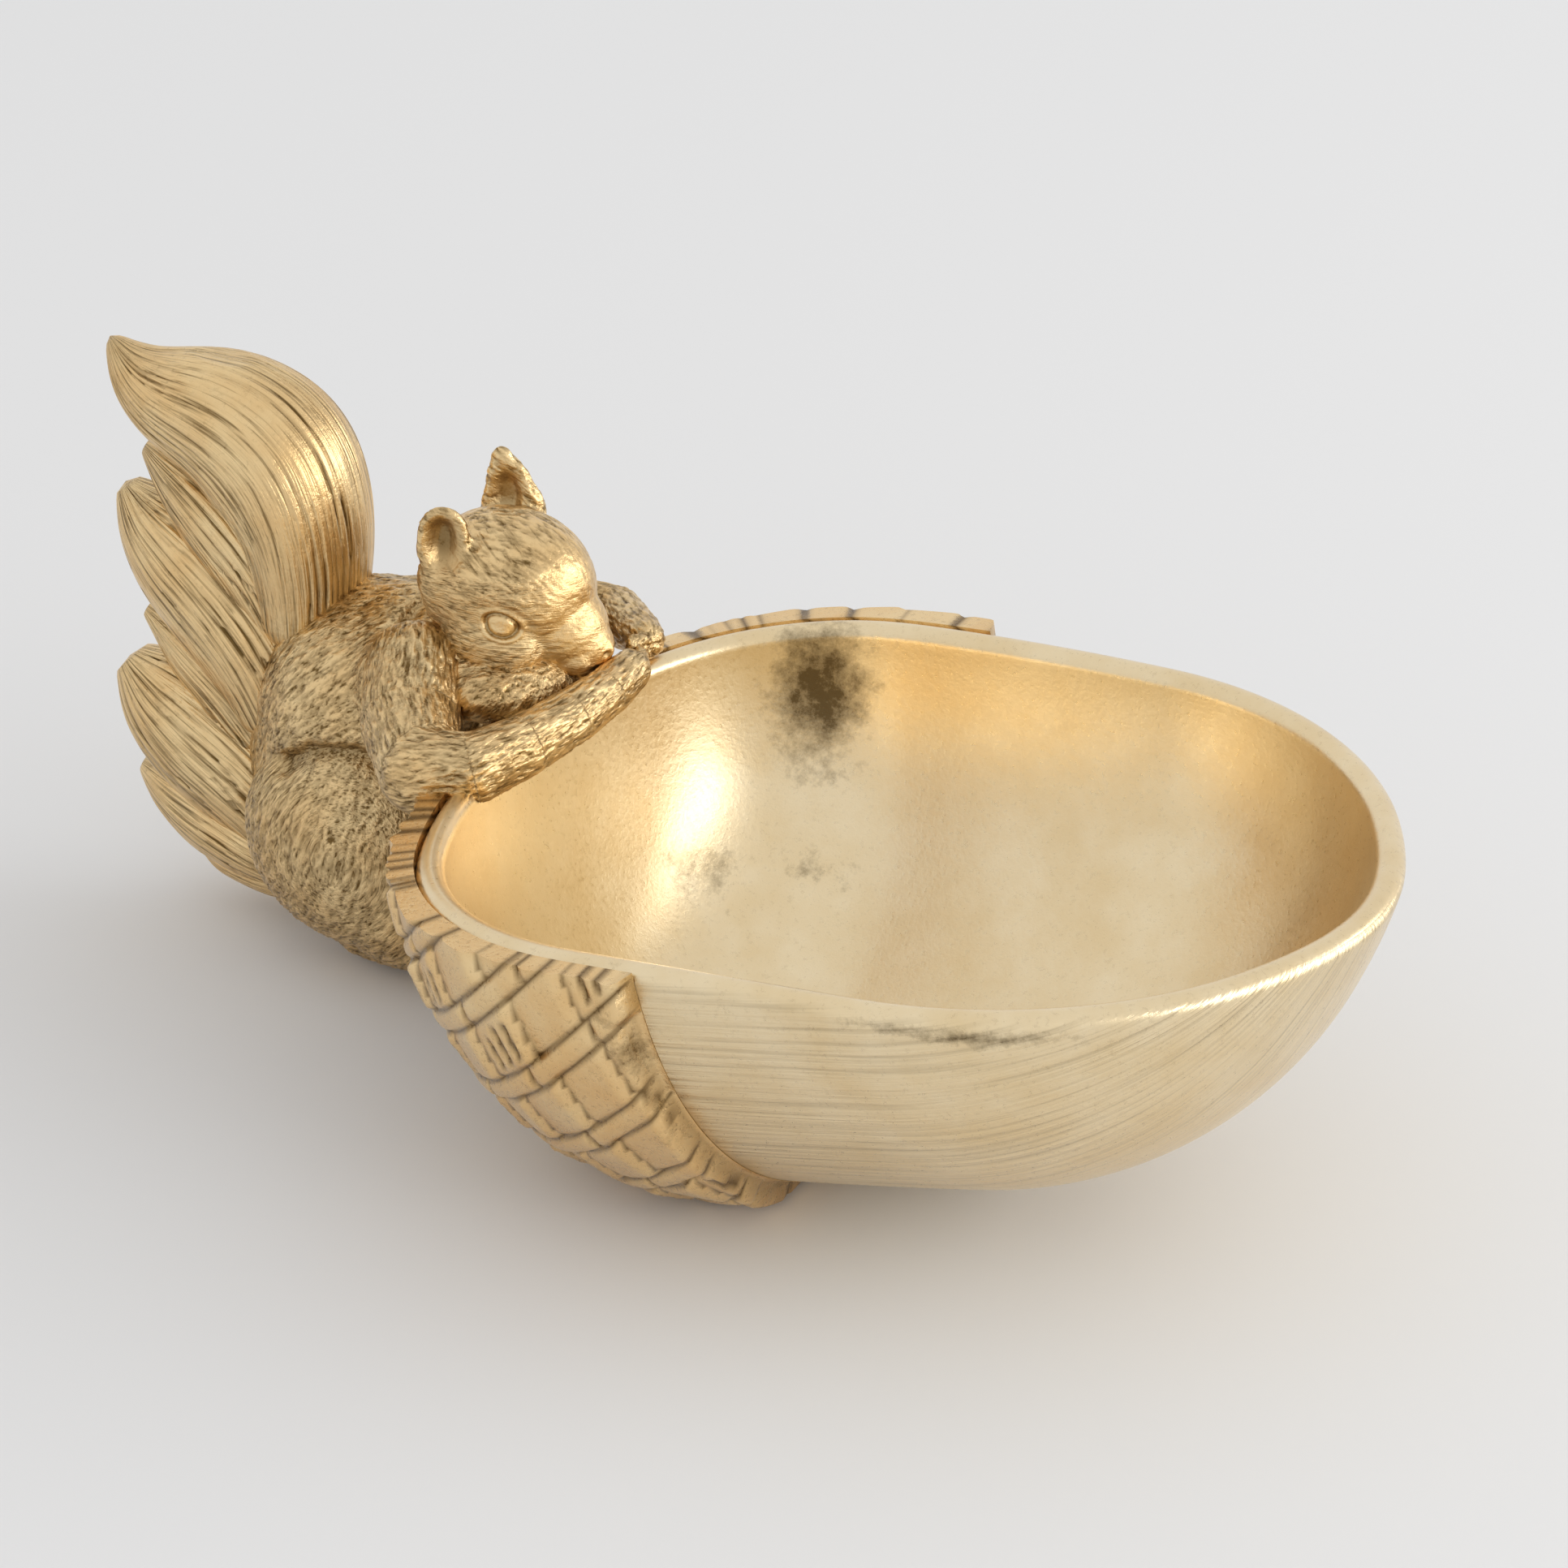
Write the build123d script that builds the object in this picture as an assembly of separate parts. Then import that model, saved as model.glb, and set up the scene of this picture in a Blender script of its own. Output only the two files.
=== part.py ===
from build123d import *
import math
import os

# Nut bowl cast as half an acorn lying on its side, with a squirrel leaning on the cap end.
# Lengths in mm. The origin is the centre of the face that the bowl stands on, +X runs along
# the acorn to the nut's tip, +Y away from the side with the squirrel's right arm, +Z is up.

# Acorn: one body of revolution about an axis that rises towards the nut's tip.
axis_pitch = 11.5
axis_x = 10.0
axis_z = 62.4
nut_radius = 62.1
crown_x = -9.3
# Outline arcs from the widest place to the tip and to the stem: radius, and turn in degrees.
# The stem side closes with one more arc, centred on the axis, and the tip side with a flat.
tip_arc_shares = [(15.2, 2.5), (1.064, 51.5), (2.034, 15.5)]
stem_arc_shares = [(2.19, 2.9), (0.7, 64.9)]
wall = 4.6

# Rim: a shallow arc seen from the side, low at the stem and high at the tip.
rim_stem_x = -75.0
rim_stem_z = 50.4
rim_middle_x = 10.0
rim_middle_z = 60.7
rim_tip_x = 118.0
rim_tip_z = 63.9
lip_round = 1.3

# Cap: a shell over the stem half, covered with overlapping scales.
cap_thickness = 2.6
cap_edge_x = -1.5
cap_drop = 0.8
glue_gap = 0.3
seat_ease = 0.25
seat_turn = 8.0
scale_length = 18.0
scale_width = 14.0
scale_rise = 3.0
scale_step = 0.5
scale_seam = 1.5
scale_seam_length = 11.0
scale_seam_depth = 0.5
scale_skew = 24.0
scale_groove_width = 1.1
scale_groove_depth = 0.9
scale_groove_length = 11.0
scale_groove_shares = [0.32, 0.62]
scale_stagger_share = 0.5

# Squirrel: its middle plane stands off the acorn's axis, so its arms reach over the rim.
squirrel_y = 22.0
seat_gap = 0.25
body_length = 61.0
body_rear_x = -104.2
body_height = 66.0
body_width = 46.5
# Torso sections: height, middle along the length, half length, half width.
torso_shares = [
    (0.0, 0.42, 0.14, 0.16),
    (0.10, 0.46, 0.33, 0.32),
    (0.30, 0.49, 0.475, 0.47),
    (0.54, 0.51, 0.50, 0.48),
    (0.74, 0.54, 0.44, 0.43),
    (0.88, 0.54, 0.36, 0.35),
    (0.97, 0.51, 0.26, 0.25),
    (1.0, 0.50, 0.12, 0.12),
]
haunch_length = 20.0
haunch_height = 21.0
haunch_width = 11.0
haunch_x = -79.7
haunch_z = 26.4
haunch_y = 13.5
foot_length = 13.0
foot_height = 5.0
foot_width = 6.0
foot_x = -76.0
foot_y = 8.5
foot_z = 3.4

# Head, over the front of the body.
head_setback = 15.5
head_rise = 4.8
head_x = body_rear_x + body_length - head_setback
head_z = body_height + head_rise
skull_length = 15.6
skull_width = 13.6
skull_height = 13.5
muzzle_length = 11.5
muzzle_base = 9.4
muzzle_drop = 4.4
muzzle_root_share = 0.35
# Muzzle sections from the skull to the nose: way forward, half width, half height.
muzzle_shares = [(0.0, 1.0, 1.0), (0.35, 0.86, 0.84), (0.7, 0.6, 0.58), (1.0, 0.34, 0.34)]
nose_radius = 2.3
cheek_radius = 7.8
cheek_setback = 1.8
cheek_y = 8.0
cheek_drop = 6.0
eye_radius = 2.5
eye_forward = 5.1
eye_y = 11.4
eye_rise = 0.2
ear_height = 14.0
ear_width = 11.5
ear_thickness = 4.2
ear_hollow = 2.0
ear_setback = 5.6
ear_y = 9.0
ear_rise = 5.7
ear_lean = 9.0
ear_turn = 72.0
# Ear outline from base to tip: height, half width, half thickness.
ear_shares = [(-0.2, 0.36, 0.5), (0.25, 0.5, 0.5), (0.6, 0.43, 0.4), (0.88, 0.22, 0.26), (1.0, 0.07, 0.12)]

# Tail: a brush that leaves the rump, rises behind the back and curls away at the top.
tail_length = 46.5
tail_front_x = -86.6
tail_height = 101.0
tail_thickness = 27.0
tail_foot_z = 1.4
# Tail sections: way back, height, half width, half thickness.
tail_shares = [
    (0.52, 0.085, 0.12, 0.26),
    (0.51, 0.12, 0.26, 0.36),
    (0.59, 0.22, 0.34, 0.43),
    (0.64, 0.37, 0.30, 0.45),
    (0.55, 0.54, 0.36, 0.48),
    (0.46, 0.69, 0.45, 0.50),
    (0.47, 0.83, 0.46, 0.50),
    (0.54, 0.93, 0.41, 0.40),
    (0.62, 0.98, 0.31, 0.26),
    (0.64, 1.0, 0.14, 0.10),
]
# Locks that stand out behind, each from its root to its tip: way back, height, radius.
lock_shares = [
    [(0.66, 0.85, 0.18), (0.88, 0.93, 0.09), (0.93, 0.965, 0.03)],
    [(0.70, 0.53, 0.20), (0.88, 0.625, 0.10), (0.96, 0.68, 0.026)],
    [(0.70, 0.21, 0.22), (0.90, 0.31, 0.10), (1.01, 0.368, 0.024)],
]

# Forelegs: each leaves a shoulder, bends at the elbow and lies over the rim.
shoulder_setback = 24.8
shoulder_drop = 6.5
shoulder_x = body_rear_x + body_length - shoulder_setback
shoulder_z = body_height - shoulder_drop
shoulder_y = 15.0
shoulder_radius = 8.6
limb_waist_share = 0.96
elbow_forward = 8.5
elbow_drop = 9.5
elbow_x = shoulder_x + elbow_forward
elbow_z = shoulder_z - elbow_drop
elbow_radius = 6.0
elbow_spread = 21.0
wrist_radius = 4.5
right_wrist_x = -43.0
right_wrist_y = 14.0
right_hand_x = -39.8
right_hand_y = 27.5
left_elbow_spread = 12.0
left_wrist_x = -49.0
left_wrist_y = 43.0
left_hand_x = -45.0
left_hand_y = 36.5
wrist_z = 56.5
hand_z = 56.2
hand_radius = 4.2
lip_seat_x = -46.0
lip_seat_z = 54.95
lip_seat_lean = 7.6
paw_length = 13.0
paw_width = 9.8
paw_height = 9.0

# Steel pins that the castings are glued on.
pin_radius = 2.0
pin_gap = 0.1
pin_length = 22.0
shoulder_pin_length = 15.0
cap_pin_length = 17.0
cap_pin_depth = 5.5
cap_pin_spread = 9.0
cap_pin_drop = 4.0
tail_pin_heights = [20.0, 40.0]
tail_pin_middle_x = -103.0
neck_pin_setback = 5.3
neck_pin_drop = 9.3
neck_pin_lean = 35.0

# Felt pads under the bowl and the squirrel.
felt_thickness = 1.2
bowl_pad_radius = 16.0
squirrel_pad_radius = 7.0
squirrel_pad_x = -79.0

overrun = 60.0

os.makedirs("parts", exist_ok=True)
acorn_place = Location((axis_x, 0, axis_z), (0, -axis_pitch, 0))
squirrel_place = Location((0, squirrel_y, 0))


# Arcs of one side of the outline, grown all round by extra. Each gives its centre, its radius
# and its first and last turn, with distances counted outwards from the widest place.
def side_arcs(arc_shares, closed, extra):
    centre_out, centre_up, turn = 0, nut_radius, 0
    arcs = []
    for radius_share, degrees in arc_shares:
        radius = radius_share * nut_radius
        if arcs:
            centre_out += (arcs[-1][2] - extra - radius) * math.sin(turn)
            centre_up += (arcs[-1][2] - extra - radius) * math.cos(turn)
        else:
            centre_up -= radius
        arcs.append((centre_out, centre_up, radius + extra, turn, turn + math.radians(degrees)))
        turn = arcs[-1][4]
    if closed:
        radius = arcs[-1][2] - extra + centre_up / math.cos(turn)
        centre_out -= centre_up * math.tan(turn)
        arcs.append((centre_out, 0, radius + extra, turn, math.pi / 2))
    return arcs


def tip_arcs(extra):
    return side_arcs(tip_arc_shares, False, extra)


def stem_arcs(extra):
    return side_arcs(stem_arc_shares, True, extra)


def on_arc(arc, turn):
    return arc[0] + arc[2] * math.sin(turn), arc[1] + arc[2] * math.cos(turn)


# Radius of the acorn on the stem side or the start of the tip side, at a place along its axis.
def acorn_radius(along, extra):
    out = abs(along - crown_x)
    arcs = tip_arcs(extra) if along > crown_x else stem_arcs(extra)
    arc = next((arc for arc in arcs if out <= on_arc(arc, arc[4])[0]), arcs[-1])
    return arc[1] + math.sqrt(max(arc[2]**2 - (out - arc[0]) ** 2, 0))


def acorn(extra):
    lines = []
    for side, arcs in ((-1, stem_arcs(extra)), (1, tip_arcs(extra))):
        for arc in arcs:
            places = [on_arc(arc, turn) for turn in (arc[3], (arc[3] + arc[4]) / 2, arc[4])]
            lines.append(ThreePointArc(*[(crown_x + side * out, up) for out, up in places]))
    tip_out, tip_up = on_arc(arcs[-1], arcs[-1][4])
    stem_end = (stem_pole(extra), 0)
    lines.append(Polyline((crown_x + tip_out, tip_up), (crown_x + tip_out, 0), stem_end))
    return Rot(X=90) * revolve(make_face(lines), Axis.X)


def stem_pole(extra):
    return crown_x - on_arc(stem_arcs(extra)[-1], math.pi / 2)[0]


def above_rim(clearance):
    left = (rim_stem_x, rim_stem_z + clearance)
    middle = (rim_middle_x, rim_middle_z + clearance)
    right = (rim_tip_x, rim_tip_z + clearance)
    top = rim_tip_z + 2 * nut_radius
    far_left = (rim_stem_x - overrun, top)
    low_left = (rim_stem_x - overrun, rim_stem_z + clearance)
    far_right = (rim_tip_x + overrun, top)
    low_right = (rim_tip_x + overrun, rim_tip_z + clearance)
    arc = ThreePointArc(left, middle, right)
    rest = Polyline(right, low_right, far_right, far_left, low_left, left)
    side = Plane.XZ * make_face(arc + rest)
    return extrude(side, amount=nut_radius + overrun, both=True)


def under_floor(height):
    depth = nut_radius + overrun
    return Pos(0, 0, height - depth / 2) * Box(4 * depth, 2 * depth, depth)


# Cap body: rows of overlapping scales turned as a saw-toothed outline, high at each row's front,
# over a seat of short tapers that clears the nut by the glue line.
def cap_rows():
    grown = glue_gap + cap_thickness
    rows = int((cap_edge_x - stem_pole(grown)) / scale_width)
    outline = [(cap_edge_x, 0)]
    for row in range(rows):
        front = cap_edge_x - row * scale_width
        rear = front - scale_width
        outline.append((front - scale_step, acorn_radius(front, grown) + scale_rise))
        outline.append((rear, acorn_radius(rear, grown)))
    outline.append((stem_pole(grown), acorn_radius(rear, grown) / 2))
    outline.append((stem_pole(grown), 0))
    return revolve(make_face(Polyline(outline, close=True)), Axis.X)


def cap_seat():
    outline = [(cap_edge_x + overrun, 0), (cap_edge_x + overrun, nut_radius + glue_gap)]
    for arc in stem_arcs(glue_gap + seat_ease):
        steps = math.ceil(math.degrees(arc[4] - arc[3]) / seat_turn)
        for step in range(steps):
            out, up = on_arc(arc, arc[3] + (arc[4] - arc[3]) * step / steps)
            outline.append((crown_x - out, up))
    outline.append((stem_pole(glue_gap + seat_ease), up / 2))
    outline.append((stem_pole(glue_gap + seat_ease), 0))
    return revolve(make_face(Polyline(outline, close=True)), Axis.X)


# Cuts between the scales of each row, slanted and staggered, and the grooves along each scale.
def scale_cuts():
    grown = glue_gap + cap_thickness
    rows = int((cap_edge_x - stem_pole(0)) / scale_width)
    cuts = []
    for row in range(rows):
        front = cap_edge_x - row * scale_width
        middle = front - scale_width / 2
        front_radius = acorn_radius(front, grown) + scale_rise
        rear_radius = acorn_radius(front - scale_width, grown)
        slope = math.degrees(math.atan2(front_radius - rear_radius, scale_width))
        radius = (front_radius + rear_radius) / 2
        count = int(2 * math.pi * radius / scale_length)
        depth = scale_rise + scale_seam_depth
        seam = Pos(0, 0, scale_rise / 2 - scale_seam_depth) * Rot(Z=scale_skew) * Box(
            scale_seam_length, scale_seam, depth)
        for place in range(count):
            turn = (place + scale_stagger_share * row) * 360 / count
            on_ring = Rot(X=turn) * Pos(middle, 0, radius) * Rot(Y=-slope)
            if (acorn_place * on_ring).position.Z > rim_middle_z + scale_width / 2:
                continue
            cuts.append(on_ring * seam)
            between = Rot(X=turn + 180 / count) * Pos(middle, 0, radius) * Rot(Y=-slope)
            for share in scale_groove_shares:
                groove = Box(scale_groove_width, scale_groove_length, 2 * scale_groove_depth)
                cuts.append(between * Pos((1 / 2 - share) * scale_width, 0, 0) * groove)
    return cuts


def oval(x, z, lean, half_wide, half_thick):
    lean = math.radians(lean)
    across = (math.cos(lean), 0, math.sin(lean))
    up = (-math.sin(lean), 0, math.cos(lean))
    return Plane(origin=(x, 0, z), x_dir=across, z_dir=up) * Ellipse(half_wide, half_thick)


def ball(x, y, z, half_long, half_wide, half_high):
    return Pos(x, y, z) * scale(Sphere(1), by=(half_long, half_wide, half_high))


# Limb through points with a radius at each: a ball at every joint and a taper between each two.
def limb(points, radii):
    solids = [Pos(*point) * Sphere(radius) for point, radius in zip(points, radii)]
    for start, end, start_radius, end_radius in zip(points, points[1:], radii, radii[1:]):
        along = Vector(*end) - Vector(*start)
        low = Plane(origin=start, z_dir=along) * Circle(limb_waist_share * start_radius)
        high = Plane(origin=end, z_dir=along) * Circle(limb_waist_share * end_radius)
        solids.append(loft([low, high], ruled=True))
    return solids[0] + solids[1:]


# Squirrel solids, about the middle plane y = 0. Grown copies cut their neighbours' seats.
def torso(grow):
    rings = []
    for high, middle, half_l, half_w in torso_shares:
        x = body_rear_x + middle * body_length
        z = high * (body_height + grow) - (1 - high) * grow
        rings.append(oval(x, z, 0, half_l * body_length + grow, half_w * body_width + grow))
    lumps = []
    for side in (-1, 1):
        lumps.append(ball(haunch_x, side * haunch_y, haunch_z,
                          haunch_length + grow, haunch_width + grow, haunch_height + grow))
        lumps.append(ball(foot_x, side * foot_y, foot_z,
                          foot_length + grow, foot_width + grow, foot_height + grow))
    return loft(rings) + lumps


def skull(grow):
    solid = ball(head_x, 0, head_z, skull_length + grow, skull_width + grow, skull_height + grow)
    rings = []
    for way, half_w, half_h in muzzle_shares:
        x = head_x + skull_length * muzzle_root_share + way * muzzle_length
        z = head_z - muzzle_drop * (way + 1) / 2
        rings.append(oval(x, z, -90, half_h * muzzle_base + grow, half_w * muzzle_base + grow))
    solid += loft(rings)
    for side in (-1, 1):
        cheek = cheek_radius + grow
        solid += ball(head_x - cheek_setback, side * cheek_y, head_z - cheek_drop, cheek, cheek, cheek)
    return solid


def ear(side):
    rings = []
    for high, half_w, half_t in ear_shares:
        section = Ellipse(half_w * ear_width, half_t * ear_thickness)
        rings.append(Pos(0, 0, high * ear_height) * section)
    solid = loft(rings)
    scoop = ball(0, -ear_thickness / 2, ear_height * 2 / 5, ear_width / 3, ear_hollow, ear_height * 2 / 5)
    place = Pos(head_x - ear_setback, side * ear_y, head_z + ear_rise) * Rot(X=-side * ear_lean) * Rot(Z=90 + side * ear_turn)
    return place * (solid - scoop)


def tail_brush():
    rings = []
    for back, high, half_w, half_t in tail_shares:
        x = tail_front_x - back * tail_length
        rings.append(oval(x, high * tail_height, 0, half_w * tail_length, half_t * tail_thickness))
    locks = []
    for lock in lock_shares:
        points = [(tail_front_x - back * tail_length, 0, high * tail_height) for back, high, half in lock]
        locks.append(limb(points, [half * tail_length for back, high, half in lock]))
    return loft(rings) + locks


# The acorn with clearance all round, as the squirrel's pieces are seated on it: the whole
# half acorn for the body behind it, and its wall under a slanting flat for the forelegs.
def grown_acorn(clearance):
    return acorn_place * acorn(glue_gap + cap_thickness + scale_rise + clearance)


def foreleg_seat():
    above = Rot(Y=-lip_seat_lean) * Pos(0, 0, overrun) * Box(4 * overrun, 4 * overrun, 2 * overrun)
    wall_block = grown_acorn(seat_gap) - acorn_place * acorn(-wall - seat_gap)
    return wall_block - Pos(lip_seat_x, 0, lip_seat_z) * above


# Place along the acorn's axis of its stem side at a distance off the axis.
def stem_along(off_axis, extra):
    arc = stem_arcs(extra)[-1]
    return crown_x - arc[0] - math.sqrt(arc[2]**2 - off_axis**2)


def foreleg(side, elbow_out, wrist, hand):
    shoulder = (shoulder_x, side * shoulder_y, shoulder_z)
    elbow = (elbow_x, side * (shoulder_y + elbow_out), elbow_z)
    solid = limb([shoulder, elbow, wrist, hand], [shoulder_radius, elbow_radius, wrist_radius, hand_radius])
    return solid + ball(*hand, paw_length / 2, paw_width / 2, paw_height / 2)


def above_floor(solid, height):
    return solid - under_floor(height)


def biggest(solid):
    return max(solid.solids(), key=lambda piece: piece.volume)


# Nut bowl: half acorn shell with a rounded lip and a flat foot.
nut_bowl = acorn_place * (acorn(0) - acorn(-wall)) - above_rim(0)
nut_bowl = above_floor(nut_bowl, felt_thickness)
rim_face = nut_bowl.faces().filter_by(GeomType.CYLINDER)[0]
nut_bowl = fillet(rim_face.edges(), lip_round)

# Acorn cap: scaled shell glued over the stem half of the nut.
acorn_cap = acorn_place * Rot(X=90) * (cap_rows() - cap_seat()) - above_rim(-cap_drop)
acorn_cap = above_floor(acorn_cap, felt_thickness) - [acorn_place * cut for cut in scale_cuts()]
acorn_cap = biggest(acorn_cap)


# Pins, each made once with its hole a little wider.
def cap_pins(radius):
    pins = []
    for side in (-1, 1):
        off_y = squirrel_y + side * cap_pin_spread
        surface = stem_along(math.hypot(off_y, cap_pin_drop), glue_gap + cap_thickness)
        middle = surface + cap_pin_depth - cap_pin_length / 2
        rod = Rot(Y=90) * Cylinder(radius, cap_pin_length)
        pins.append(acorn_place * Pos(middle, off_y, -cap_pin_drop) * rod)
    return pins


def tail_pins(radius):
    rod = Rot(Y=90) * Cylinder(radius, pin_length)
    return [squirrel_place * Pos(tail_pin_middle_x, 0, height) * rod for height in tail_pin_heights]


def shoulder_pins(radius):
    rod = Rot(X=90) * Cylinder(radius, shoulder_pin_length)
    return [squirrel_place * Pos(shoulder_x, side * shoulder_y, shoulder_z) * rod for side in (-1, 1)]


def neck_pins(radius):
    place = Pos(head_x - neck_pin_setback, 0, head_z - neck_pin_drop) * Rot(Y=neck_pin_lean)
    return [squirrel_place * place * Cylinder(radius, pin_length)]


hole_radius = pin_radius + pin_gap
nut_bowl = nut_bowl - cap_pins(hole_radius)
acorn_cap = acorn_cap - cap_pins(hole_radius)

# Squirrel's castings, each seated on its neighbours.
torso_seat = squirrel_place * torso(seat_gap)
skull_seat = squirrel_place * skull(seat_gap)
body_holes = cap_pins(hole_radius) + tail_pins(hole_radius)
body_holes += shoulder_pins(hole_radius) + neck_pins(hole_radius)
squirrel_body = squirrel_place * torso(0) - (grown_acorn(seat_gap) - above_rim(seat_gap))
squirrel_body = biggest(above_floor(squirrel_body, felt_thickness) - body_holes)

eye_x = head_x + eye_forward
eye_z = head_z + eye_rise
eyes = [ball(eye_x, side * eye_y, eye_z, eye_radius, eye_radius, eye_radius)
        for side in (-1, 1)]
nose_x = head_x + skull_length * muzzle_root_share + muzzle_length
nose = ball(nose_x, 0, head_z - muzzle_drop, nose_radius, nose_radius, nose_radius)
squirrel_head = squirrel_place * (skull(0) + [ear(-1), ear(1), nose] + eyes)
squirrel_head = biggest(squirrel_head - torso_seat - neck_pins(hole_radius))

right_wrist = (right_wrist_x, right_wrist_y - squirrel_y, wrist_z)
right_hand = (right_hand_x, right_hand_y - squirrel_y, hand_z)
left_wrist = (left_wrist_x, left_wrist_y - squirrel_y, wrist_z)
left_hand = (left_hand_x, left_hand_y - squirrel_y, hand_z)
lip_seat = foreleg_seat()
right_foreleg = squirrel_place * foreleg(-1, elbow_spread, right_wrist, right_hand)
right_foreleg = biggest(right_foreleg - torso_seat - skull_seat - lip_seat - shoulder_pins(hole_radius))
left_foreleg = squirrel_place * foreleg(1, left_elbow_spread, left_wrist, left_hand)
left_foreleg = biggest(left_foreleg - torso_seat - skull_seat - lip_seat - shoulder_pins(hole_radius))

tail = squirrel_place * tail_brush() - torso_seat
tail = biggest(above_floor(tail, tail_foot_z) - tail_pins(hole_radius))

# Felt pads, flush with the floor.
bowl_pad = Pos(0, 0, felt_thickness / 2) * Cylinder(bowl_pad_radius, felt_thickness)
squirrel_pad = Pos(squirrel_pad_x, squirrel_y, felt_thickness / 2)
squirrel_pad *= Cylinder(squirrel_pad_radius, felt_thickness)

nodes = {
    "nut_bowl": [nut_bowl],
    "acorn_cap": [acorn_cap],
    "squirrel_body": [squirrel_body],
    "squirrel_head": [squirrel_head],
    "right_foreleg": [right_foreleg],
    "left_foreleg": [left_foreleg],
    "tail": [tail],
    "cap_pins": cap_pins(pin_radius),
    "tail_pins": tail_pins(pin_radius),
    "shoulder_pins": shoulder_pins(pin_radius),
    "neck_pin": neck_pins(pin_radius),
    "bowl_pad": [bowl_pad],
    "squirrel_pad": [squirrel_pad],
}
for name, pieces in nodes.items():
    solids = [solid for piece in pieces for solid in piece.solids()]
    export_step(Compound(children=solids), f"parts/{name}.step")
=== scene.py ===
import math

import bmesh
import bpy
import numpy as np
from mathutils import Euler, Matrix, Vector, kdtree


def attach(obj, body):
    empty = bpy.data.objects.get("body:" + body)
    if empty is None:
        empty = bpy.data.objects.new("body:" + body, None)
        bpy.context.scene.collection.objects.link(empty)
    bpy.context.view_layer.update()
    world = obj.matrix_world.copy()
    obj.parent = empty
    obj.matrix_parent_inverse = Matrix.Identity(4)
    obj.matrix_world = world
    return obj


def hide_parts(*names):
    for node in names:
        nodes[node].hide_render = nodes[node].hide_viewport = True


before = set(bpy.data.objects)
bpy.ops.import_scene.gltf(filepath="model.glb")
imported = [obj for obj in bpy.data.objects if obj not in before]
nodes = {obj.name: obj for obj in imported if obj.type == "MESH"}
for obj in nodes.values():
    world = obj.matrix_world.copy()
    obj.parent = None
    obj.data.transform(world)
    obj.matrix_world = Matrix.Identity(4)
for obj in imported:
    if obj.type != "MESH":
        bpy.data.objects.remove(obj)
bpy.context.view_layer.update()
mm = 0.001

# Camera: a long lens, seen from the squirrel's right side and from above. Angles are in radians.
camera_turn = 0.470617
camera_rise = 0.499794
camera_distance = 1024.65 * mm
camera_target = Vector((-9.3, 23.5, 46.05)) * mm
photo_side = 1932
focal_pixels = 7841.8

camera = bpy.data.objects.new("camera", bpy.data.cameras.new("camera"))
bpy.context.scene.collection.objects.link(camera)
camera.rotation_euler = (math.pi / 2 - camera_rise, 0, camera_turn)
look_back = Vector((math.sin(camera_turn) * math.cos(camera_rise),
                    -math.cos(camera_turn) * math.cos(camera_rise), math.sin(camera_rise)))
camera.location = camera_target + camera_distance * look_back
camera.data.sensor_width = 36
camera.data.lens = camera.data.sensor_width * focal_pixels / photo_side
camera.data.clip_end = 20
bpy.context.scene.camera = camera
bpy.context.scene.view_settings.view_transform = "Standard"

# Floor: one wide sheet of white paper under the object.
floor_half = 3.0
bm = bmesh.new()
bmesh.ops.create_grid(bm, x_segments=1, y_segments=1, size=floor_half)
floor_mesh = bpy.data.meshes.new("floor")
bm.to_mesh(floor_mesh)
bm.free()
floor = bpy.data.objects.new("floor", floor_mesh)
bpy.context.scene.collection.objects.link(floor)
paper = bpy.data.materials.new("white_paper")
paper.use_nodes = True
paper_shader = paper.node_tree.nodes["Principled BSDF"]
paper_shader.inputs["Base Color"].default_value = (0.81, 0.81, 0.812, 1)
paper_shader.inputs["Roughness"].default_value = 0.9
paper_shader.inputs["Specular IOR Level"].default_value = 0.1
floor_mesh.materials.append(paper)

# Light: a pale room and one wide, low softbox on the right.
world = bpy.data.worlds.new("studio")
world.use_nodes = True
bpy.context.scene.world = world
world.node_tree.nodes["Background"].inputs["Color"].default_value = (1, 1, 1, 1)
world.node_tree.nodes["Background"].inputs["Strength"].default_value = 0.83
softbox = bpy.data.lights.new("softbox_right", "AREA")
softbox.shape = "RECTANGLE"
softbox.size = 2.0
softbox.size_y = 0.7
softbox.energy = 13
softbox_place = Vector((1.4, 0.35, 0.50))
softbox_aim = Vector((0, 0, 0.05))
softbox_stand = bpy.data.objects.new("softbox_right", softbox)
bpy.context.scene.collection.objects.link(softbox_stand)
softbox_stand.location = softbox_place
softbox_stand.rotation_euler = (softbox_aim - softbox_place).to_track_quat("-Z", "Y").to_euler()

# Nut bowl: half an acorn's shell, cast in resin with a rounded lip and a flat foot, smooth
# inside and finely grained outside along the nut, then covered in gold leaf.
nut_radius = 62.05 * mm
crown = -9.3 * mm
wall = 4.6 * mm
lip_round = 2.3 * mm
foot_height = 1.2 * mm
# Outline arcs from the widest place to the tip and to the stem: each one's radius as a share of
# nut_radius, and its turn in degrees.
tip_arc_shares = ((15.2, 2.5), (1.064, 51.5), (2.034, 15.5))
stem_arc_shares = ((2.19, 2.9), (0.7, 64.9))
# Places along the nut's axis are counted from axis_foot, and crown is the widest of them.
axis_foot = np.array((10.0, 0.0, 62.4)) * mm
axis_pitch = math.radians(11.5)
axis_way = np.array((math.cos(axis_pitch), 0.0, math.sin(axis_pitch)))
axis_up = np.array((-math.sin(axis_pitch), 0.0, math.cos(axis_pitch)))
rim_points = np.array(((-75.0, 50.4), (10.0, 60.7), (118.0, 63.9))) * mm
bowl_middle_x = 26.0 * mm
bowl_turns = 320
bowl_rings = 90
lip_rings = 7
skin_halvings = 40
rim_halvings = 30
steepest_rise = 0.9


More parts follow.
